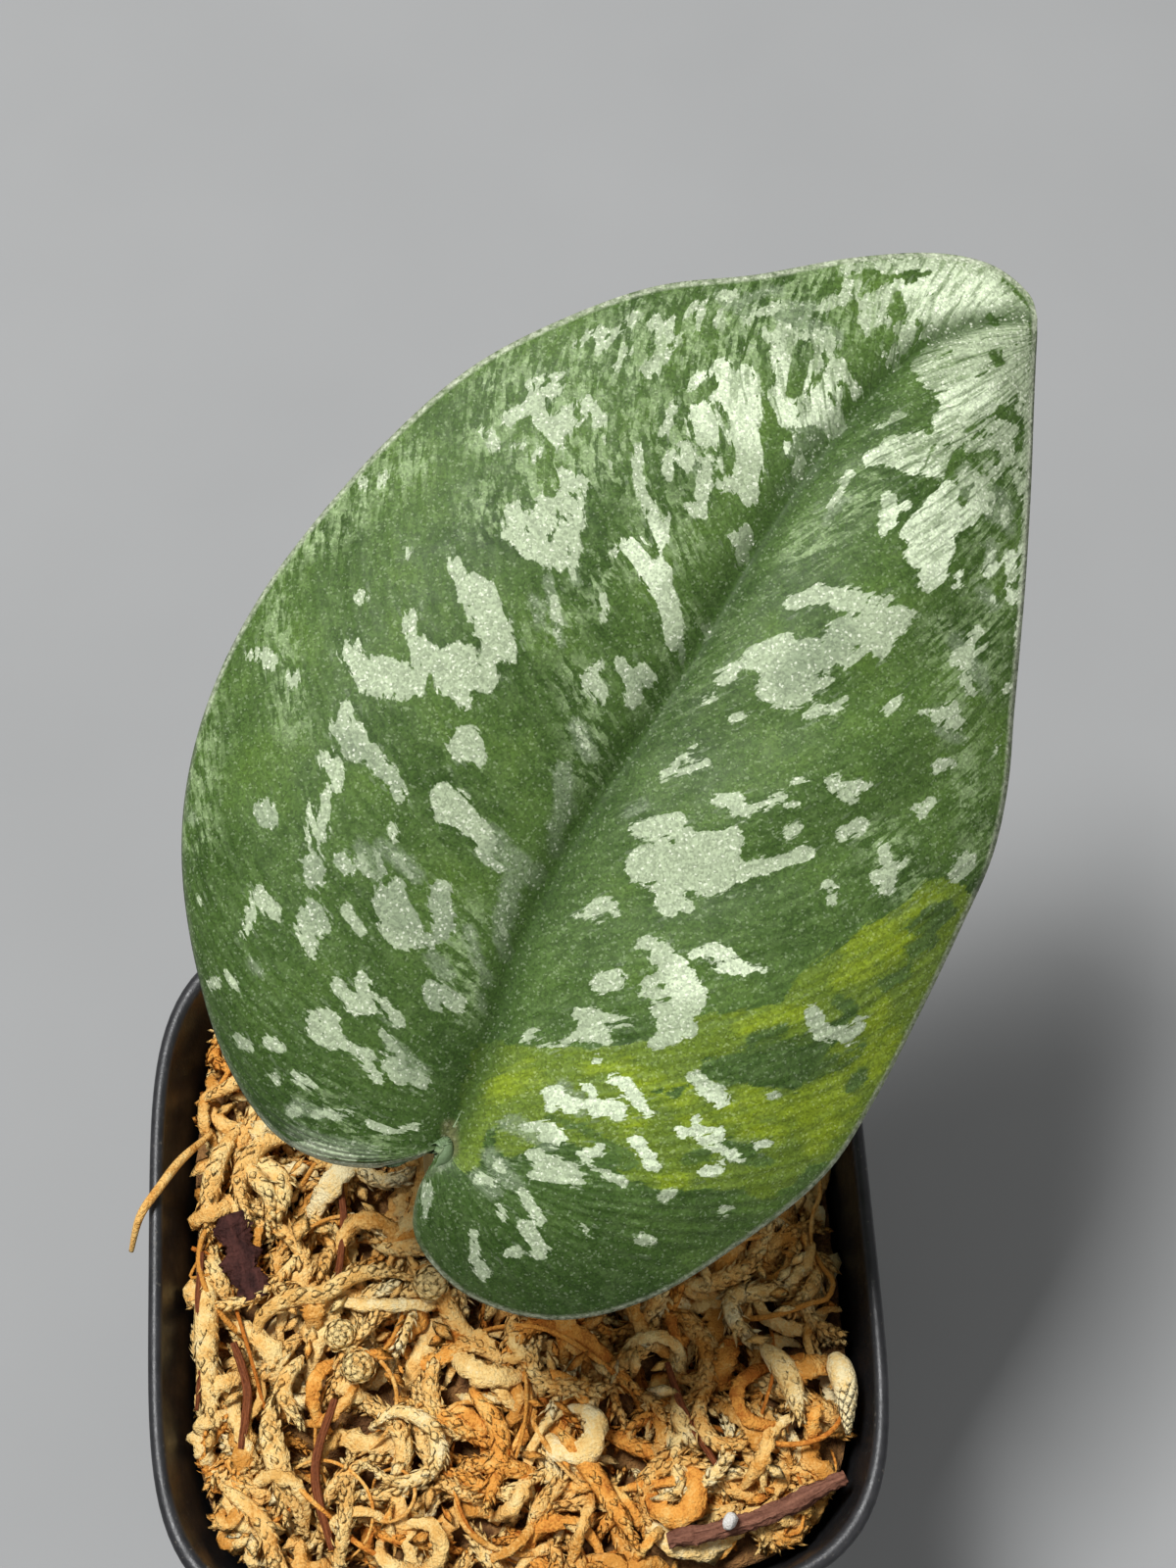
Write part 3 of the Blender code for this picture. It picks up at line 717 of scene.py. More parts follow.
def make_woody_material(name, colours, roughness):
    """Dead wood or moss stem: darker and paler streaks that run along it."""
    material, tree, shader, place = new_material(name)
    skin = add_node(tree, "UVMap", uv_map="skin").outputs["UV"]
    streak = grain(tree, skin, 1000.0, 0.0, 0.8, along=0.09, across=0.30)
    fine = grain(tree, place, 0.3, 0.0, 0.35)
    level = maths(tree, "ADD", streak, fine)
    feed(tree, shader, Base_Color=mix_colours(tree, level, colours[0], colours[1]),
         Roughness=roughness, Specular_IOR_Level=0.15, Normal=bump(tree, level, 0.2))
    return material


woody_materials = {
    "bark": make_woody_material("twig_bark_dark", BARK_COLOURS, 0.8),
    "stem": make_woody_material("moss_stem_red", STEM_COLOURS, 0.55),
    "twig": make_woody_material("twig_red_brown", TWIG_COLOURS, 0.8),
}


def lay_on_moss(spots, radius, flatness=1.0, lift=0.0):
    """Turn (x, y, lift) spots into a route that lies on the moss, all of it lifted a little."""
    rise = radius * flatness + GAP + 0.15
    return [Vector((x, y, moss_level(x, y) + rise + up)) + Vector((0, 0, lift))
            for x, y, up in spots]


def gnarled(kind, offset):
    """A smooth ribbed skin for moss stems, and a knotty broken one for bark and twigs."""
    def bumps(turn, share):
        around = Vector((math.cos(turn), math.sin(turn), share * 9.0 + offset))
        if kind == "stem":
            return 1.0 + 0.12 * noise.noise(around * 1.7)
        return 1.0 + 0.55 * noise.noise(around * 0.8) + 0.35 * noise.noise(around * 2.9)
    return bumps


def make_litter():
    dice = random.Random(8)
    for node, kind, radius, spots in LYING_LEAFY:
        heap = bmesh.new()
        clothe(heap, dice, lay_on_moss(spots, radius, lift=LEAFY_LIFT), 1.1 * radius, 0.55, 0.3)
        make_piece(node + "_leaves", heap, [moss_materials[kind]], MOSS_SLOTS[kind], node,
                   sharp_angle=180.0)
    for node, kind, radius, flatness, spots in LYING_WOODY:
        radii = [radius * r for r in (STEM_TAPER if kind == "stem" else BROKEN_TAPER)]
        shape = tube(lay_on_moss(spots, radius, flatness, WOODY_LIFT), radii, sides=22, rings=80,
                     flatness=flatness, bumps=gnarled(kind, len(node)))
        make_piece(node + "_skin", shape, [woody_materials[kind]], "twig_bark", node,
                   sharp_angle=70.0)


make_litter()


# A thin dark moss stem runs down the left wall, between the strands. It has lost its leaves, and
# lies loose on the rest.
WALL_STEM = ((-30.2, 1.6), (-30.6, -3.0), (-30.2, -7.6), (-30.8, -13.6))
WALL_STEM_RADII = (0.25, 0.35, 0.3, 0.2)
WALL_STEM_LIFT = 1.9


def make_wall_stem():
    heap = bmesh.new()
    route = [Vector((x, y, moss_level(x, y) + WALL_STEM_LIFT)) for x, y in WALL_STEM]
    absorb(heap, tube(route, WALL_STEM_RADII, sides=10, rings=40), 0.0)
    make_piece("wall_stem", heap, [woody_materials["stem"]], "twig_bark", sharp_angle=180.0)


make_wall_stem()


# A thick pale moss tip stands out against the right rim. It is one fat shoot, a cone whose dry
# leaves lie close together like scales.
STALK_SPOTS = ((30.0, -12.6, 0.0), (30.7, -15.8, 0.1), (30.6, -19.4, 0.0))
STALK_RADIUS = 1.2
STALK_TAPER = (0.5, 1.0, 1.05, 0.85, 0.5, 0.12)
STALK_LEAVES = 90
STALK_LEAN = 0.14
STALK_LIFT = 0.7


def make_cream_stalk():
    dice = random.Random(3)
    heap = bmesh.new()
    route = lay_on_moss(STALK_SPOTS, STALK_RADIUS, lift=STALK_LIFT)
    radii = [STALK_RADIUS * r for r in STALK_TAPER]
    absorb(heap, tube(route, radii, sides=12, rings=20), 0.8)
    for stop, (spot, ahead, side, rise) in enumerate(walk(route, STALK_LEAVES)):
        share = stop / STALK_LEAVES
        turn = stop * GOLDEN_TURN
        outward = side * math.cos(turn) + rise * math.sin(turn)
        points_to = (ahead + outward * STALK_LEAN).normalized()
        faces_to = (outward - ahead * STALK_LEAN).normalized()
        add_moss_leaf(heap, spot + outward * taper(radii, share) * 0.8, points_to, faces_to,
                      1.7 - share * 0.8, 1.3 - share * 0.7, 0.9 + dice.uniform(-0.1, 0.1))
    make_piece("cream_stalk_leaves", heap, [moss_materials["cream"]], "cream_moss", "cream_stalk",
               sharp_angle=180.0)


make_cream_stalk()


# The dense round heads of three moss plants stick out of the strands. Each is a ball of dry leaves
# that lie flat on one another. A row is a node, a radius, a place and a tone.
BUDS = (
    ("pale_moss_knob", 1.7, (-8.0, -3.0), 1.1),
    ("moss_bud_back", 1.5, (-16.9, -7.4), 0.85),
    ("moss_bud_front", 1.6, (-15.2, -10.6), 0.8),
)
BUD_LIFT = 0.6
BUD_LEAVES = 30
BUD_LEAF_SEAT = 0.95
BUD_LEAF_TUCK = 0.10
BUD_CORE = 0.94


def make_buds():
    dice = random.Random(12)
    for node, radius, (x, y), tone in BUDS:
        heap = bmesh.new()
        middle = Vector((x, y, moss_level(x, y) + radius * 0.8 + GAP + BUD_LIFT))
        for count in range(BUD_LEAVES):
            rise = 1.0 - 1.75 * count / BUD_LEAVES
            level = math.sqrt(max(1.0 - rise * rise, 0.0))
            turn = count * GOLDEN_TURN
            outward = Vector((level * math.cos(turn), level * math.sin(turn), rise))
            climb = Vector((-rise * math.cos(turn), -rise * math.sin(turn), level + 0.01))
            points_to = (climb.normalized() - outward * BUD_LEAF_TUCK).normalized()
            faces_to = (outward - points_to * outward.dot(points_to)).normalized()
            add_moss_leaf(heap, middle + outward * radius * BUD_LEAF_SEAT, points_to, faces_to,
                          radius * dice.uniform(0.8, 1.1), radius * dice.uniform(0.8, 1.0),
                          tone + dice.uniform(-0.1, 0.1))
        core = bmesh.new()
        bmesh.ops.create_icosphere(core, subdivisions=4, radius=radius * BUD_CORE,
                                   matrix=Matrix.Translation(middle))
        for vert in core.verts:
            vert.co += (vert.co - middle) * 0.12 * noise.noise(vert.co * 1.7)
        absorb(heap, core, tone)
        make_piece(node + "_head", heap, [moss_materials["tan"]],
                   "cream_moss" if node.startswith("pale") else "tan_moss", node,
                   sharp_angle=180.0)


make_buds()


# One long dry moss stem has worked loose from the rest. It is bare and stiff, and it hangs out over
# the left rim of the pot.
STRAY_STEM = ((-29.6, 13.6, 61.0), (-31.9, 10.6, 63.6), (-33.6, 7.4, 65.85), (-35.6, 4.6, 65.65),
              (-37.0, 2.0, 62.6))
STRAY_RADII = (0.3, 0.45, 0.45, 0.4, 0.25)


def make_stray_stem():
    heap = bmesh.new()
    route = [Vector(spot) for spot in STRAY_STEM]
    absorb(heap, tube(route, STRAY_RADII, sides=10, rings=36), 0.45)
    make_piece("stray_moss_stem", heap, [moss_materials["tan"]], "tan_moss",
               "moss_strand_over_rim", sharp_angle=180.0)


make_stray_stem()


# A grain of perlite lies on the dark twig. It is popped volcanic glass, white and full of pits,
# that is mixed into moss to lighten it.
PERLITE_PLACE = (18.9, -27.3)
PERLITE_RADIUS = 0.9
PERLITE_NARROW = 0.68
PERLITE_TURN = 55.0
PERLITE_PIT = (0.55, 0.52, 0.47)
PERLITE_WHITE = (0.86, 0.85, 0.81)


def make_perlite():
    shape = bmesh.new()
    bmesh.ops.create_icosphere(shape, subdivisions=3, radius=PERLITE_RADIUS)
    for vert in shape.verts:
        vert.co *= 1.0 + 0.22 * noise.noise(vert.co * 1.6) + 0.08 * noise.noise(vert.co * 5.0)
        vert.co.y *= PERLITE_NARROW
    bmesh.ops.rotate(shape, verts=shape.verts,
                     matrix=Matrix.Rotation(math.radians(PERLITE_TURN), 3, "Z"))
    x, y = PERLITE_PLACE
    twig_top = 2 * TWIG_RADIUS + GAP + 0.2 + WOODY_LIFT
    level = moss_level(x, y) + PERLITE_RADIUS * 0.8 + GAP + twig_top
    bmesh.ops.translate(shape, verts=shape.verts, vec=(x, y, level))
    material, tree, shader, place = new_material("perlite_white")
    pits = grain(tree, place, 0.25)
    feed(tree, shader, Base_Color=mix_colours(tree, pits, PERLITE_PIT, PERLITE_WHITE),
         Roughness=0.7, Normal=bump(tree, pits, 0.08))
    make_piece("perlite_bead", shape, [material], "perlite", "perlite_grain")


make_perlite()


# The cutting is a short piece of brown-green vine, cut square above its one node. Its cut end has
# healed to a pale callus, and three young roots leave it under the node and go down into the moss.
STEM_FOOT = Vector((-1.5, 6.5, 42.0))
STEM_TOP = Vector((2.0, 4.0, 65.5))
STEM_RADIUS = 2.4
NODE_RADIUS = 2.75
NODE_SHARE = 0.83
STEM_SHARES = (0.0, 0.25, 0.5, 0.7, NODE_SHARE, 0.92, 1.0)
STEM_TAPER_UP = (0.88, 1.0, 1.0, 1.0, NODE_RADIUS / STEM_RADIUS, 1.0, 0.94)
ROOT_START = 56.5
ROOT_RADIUS = 0.7
ROOTS = (("root_left", 170, 4.0), ("root_right", 20, -3.0), ("root_back", 95, 3.0))
ROOT_COURSE = ((0.0, 0.0, 0.0), (3.0, 0.0, -1.5), (7.0, 1.0, -8.0), (9.0, -0.3, -17.0),
               (12.0, 1.0, -25.0))
ROOT_TAPER = (1.1, 1.0, 1.0, 0.8, 0.45)
STEM_BROWN = (0.085, 0.060, 0.026)
STEM_GREEN = (0.125, 0.140, 0.048)
CALLUS = (0.50, 0.42, 0.27)
ROOT_PALE = (0.52, 0.43, 0.29)
ROOT_BROWN = (0.30, 0.20, 0.10)


def make_plant_skin(name, dark, pale, roughness, streak=0.12):
    """Smooth plant skin with long faint streaks, such as on a stem, a stalk or a root."""
    material, tree, shader, place = new_material(name)
    skin = add_node(tree, "UVMap", uv_map="skin").outputs["UV"]
    streaks = grain(tree, skin, 1000.0, 0.0, 0.75, along=streak, across=0.6)
    fleck = grain(tree, place, 0.35, 0.0, 0.3)
    level = maths(tree, "ADD", streaks, fleck)
    feed(tree, shader, Base_Color=mix_colours(tree, level, dark, pale), Roughness=roughness,
         Subsurface_Weight=0.08, Subsurface_Scale=0.8 * MM,
         Normal=bump(tree, level, 0.05))
    return material


def stem_side(height, away, room):
    """A point just off the stem's side at a height, in a level direction."""
    share = (height - STEM_FOOT.z) / (STEM_TOP.z - STEM_FOOT.z)
    return STEM_FOOT.lerp(STEM_TOP, share) + away * (NODE_RADIUS + room)


def make_stem():
    def bumps(turn, share):
        ring = 0.10 * math.exp(-((share - NODE_SHARE) / 0.022) ** 2)
        scar = -0.05 * math.exp(-((share - NODE_SHARE - 0.045) / 0.018) ** 2)
        around = Vector((math.cos(turn) * 2.0, math.sin(turn) * 2.0, share * 12.0))
        ribs = 0.02 * math.sin(7.0 * turn) + 0.03 * noise.noise(around)
        return 1.0 + ring + scar + ribs

    route = [STEM_FOOT.lerp(STEM_TOP, share) for share in STEM_SHARES]
    radii = [STEM_RADIUS * r for r in STEM_TAPER_UP]
    bark = make_plant_skin("stem_skin", STEM_BROWN, STEM_GREEN, 0.6)
    shape = tube(route, radii, sides=40, rings=90, bumps=bumps)
    cut_face = max(shape.faces, key=lambda face: face.calc_center_median().z)
    callus = bmesh.ops.inset_region(shape, faces=[cut_face], thickness=0.35, depth=-0.18)
    cut_face.material_index = 1
    for face in callus["faces"]:
        face.material_index = 1
    healed = make_plant_skin("stem_callus", ROOT_BROWN, CALLUS, 0.8)
    make_piece("stem_stub", shape, [bark, healed], "stem_bark", "stem_cutting", sharp_angle=50.0)


def make_roots():
    """A root's course gives, for each point, how far out it is, its share of the drift and its drop."""
    skin = make_plant_skin("root_skin", ROOT_BROWN, ROOT_PALE, 0.75)
    radii = [ROOT_RADIUS * r for r in ROOT_TAPER]
    for node, heading, drift in ROOTS:
        level = Vector((math.cos(math.radians(heading)), math.sin(math.radians(heading)), 0.0))
        cross = Vector((-level.y, level.x, 0.0))
        start = stem_side(ROOT_START, level, room=-0.4)
        route = [start + level * out + cross * drift * sway + Vector((0, 0, drop))
                 for out, sway, drop in ROOT_COURSE]
        shape = tube(route, radii, sides=12, rings=60)
        make_piece(node + "_skin", shape, [skin], "root_skin", node)


make_stem()
make_roots()


# The petiole carries the leaf. It clasps the node with a short sheath, has a shallow channel along
# its upper side, and swells again just under the blade, where it turns the leaf to the light.
PETIOLE_RADIUS = 1.45
PETIOLE_START = 62.3
PETIOLE_AWAY = Vector((-0.82, -0.57, 0.0))
PETIOLE_COURSE = ((-4.9, 1.0, 67.5), (-5.6, 2.0, 75.0), (-5.4, 3.2, 84.0), (-4.5, 3.0, 91.5))
PETIOLE_TAPER = (1.0, 1.2, 1.15, 1.0, 0.93, 1.12, 0.95)
JUNCTION = Vector((-3.8, 0.7, 98.0))
ACROSS = Vector((0.7748, -0.5802, -0.2514)).normalized()
ALONG = Vector((0.6323, 0.7081, 0.3145)).normalized()
OUTWARD = ACROSS.cross(ALONG)
PETIOLE_DARK = (0.095, 0.095, 0.036)
PETIOLE_PALE = (0.28, 0.26, 0.125)


def make_petiole():
    start = stem_side(PETIOLE_START, PETIOLE_AWAY, room=-0.3)
    route = [start, start + PETIOLE_AWAY * 1.8 + Vector((0, 0, 0.9)),
             *map(Vector, PETIOLE_COURSE), JUNCTION - OUTWARD * 0.9]
    radii = [PETIOLE_RADIUS * r for r in PETIOLE_TAPER]

    def bumps(turn, share):
        channel = -0.16 * math.exp(-((math.sin(turn / 2.0)) / 0.22) ** 2) * min(1.0, 4 * (1 - share))
        joint = 0.05 * math.exp(-((share - 0.93) / 0.03) ** 2)
        return 1.0 + channel + joint

    skin = make_plant_skin("petiole_skin", PETIOLE_DARK, PETIOLE_PALE, 0.45)
    shape = tube(route, radii, sides=28, rings=110, bumps=bumps)
    make_piece("petiole_stalk", shape, [skin], "petiole", "petiole")


make_petiole()


# The one leaf is a lopsided heart with a sunk midrib and a hanging tip. Its skin is satin, because
# air under it shows as silver patches that stop at the side veins, and one lobe has a lime sector.
# It is one closed sheet of fixed rows, each a side vein, and its stalk carries it at the notch.
BLADE_THICKNESS = 0.5
BLADE_ROWS = 264
BLADE_COLUMNS = 150
SIGHT_SPOT = Vector((-7.8, 31.5))
SIGHT_DISTANCE = 215.0

# Where left and right differ, the first value is for the left half and the second for the right.
VEIN_BENDS = {-1: 0.17, 1: 0.10}
ARCHES = {-1: 0.105, 1: 0.085}
ROLLS = {-1: 0.05, 1: 0.100}
LEFT_FLATTENS_FROM = 38.0
LEFT_FLATTENS_OVER = 30.0
BACK_HIGHEST = 33.0
BACK_LENGTH = 52.0
TIP_HANGS_FROM = 60.0
TIP_LENGTH = 26.0
MIDRIB_CHANNEL = 0.55
MIDRIB_CHANNEL_REACH = 1.7
QUILT_DEPTH = 0.22
MARGIN_DROP = 0.22
MARGIN_REACH = 0.8
RIGHT_WAVES = ((37.0, 4.0), (21.0, 3.2))
RIGHT_WAVE_DEPTH = 0.65
SIDE_VEIN_STEP = 2.7
VEIN_SWEEPS = {-1: 3.0, 1: 5.0}
VEIN_SWEEP_REACH = 4.0
RIGHT_VEINS_START = 200.0
CELL_BLOCK = (1.4, 0.65)
SMALL_CELL_BLOCK = (0.7, 0.35)
SKIN_CELL = 0.18

# Main veins from tip to notch: the foot on the midrib, the end on the left margin and the end on
# the right margin, as (across, along) on the blade.
VEIN_ROWS = (
    ((0.3, 85.6), (0.3, 85.6), (0.3, 85.6)),
    ((-1.6, 84.0), (-1.6, 86.9), (0.7, 85.0)),
    ((-4.2, 81.4), (-5.6, 87.0), (1.0, 84.6)),
    ((-6.6, 77.0), (-10.2, 84.9), (1.4, 84.0)),
    ((-7.5, 71.0), (-15.7, 80.4), (1.9, 83.2)),
    ((-7.9, 63.0), (-21.2, 74.8), (3.0, 81.5)),
    ((-7.6, 54.5), (-27.7, 68.9), (4.9, 78.6)),
    ((-6.7, 46.0), (-32.9, 61.3), (8.2, 73.6)),
    ((-6.4, 38.0), (-36.4, 54.0), (12.1, 67.4)),
    ((-6.2, 30.0), (-38.4, 45.5), (15.2, 62.2)),
    ((-5.5, 22.5), (-39.4, 36.5), (18.0, 57.4)),
    ((-4.0, 15.5), (-39.5, 28.0), (21.2, 52.0)),
    ((-2.2, 10.0), (-38.3, 20.0), (23.6, 46.3)),
    ((-1.1, 6.0), (-35.7, 12.6), (25.0, 39.5)),
    ((-0.5, 3.2), (-31.8, 6.2), (26.3, 32.0)),
    ((-0.2, 1.3), (-26.2, 0.2), (27.4, 24.0)),
    ((0.0, 0.0), (-19.5, -5.0), (27.7, 16.5)),
    ((0.0, 0.0), (-13.0, -7.7), (25.6, 8.5)),
    ((0.0, 0.0), (-8.1, -7.5), (21.7, -0.8)),
    ((0.0, 0.0), (-4.2, -5.7), (16.2, -6.9)),
    ((0.0, 0.0), (-1.6, -3.2), (9.0, -9.5)),
    ((0.0, 0.0), (-0.7, -1.6), (2.8, -8.2)),
    ((0.0, 0.0), (-0.3, -0.7), (0.3, -4.2)),
    ((0.0, 0.0), (-0.1, -0.2), (1.0, -1.3)),
    ((0.0, 0.0), (0.0, 0.0), (0.0, 0.0)),
)

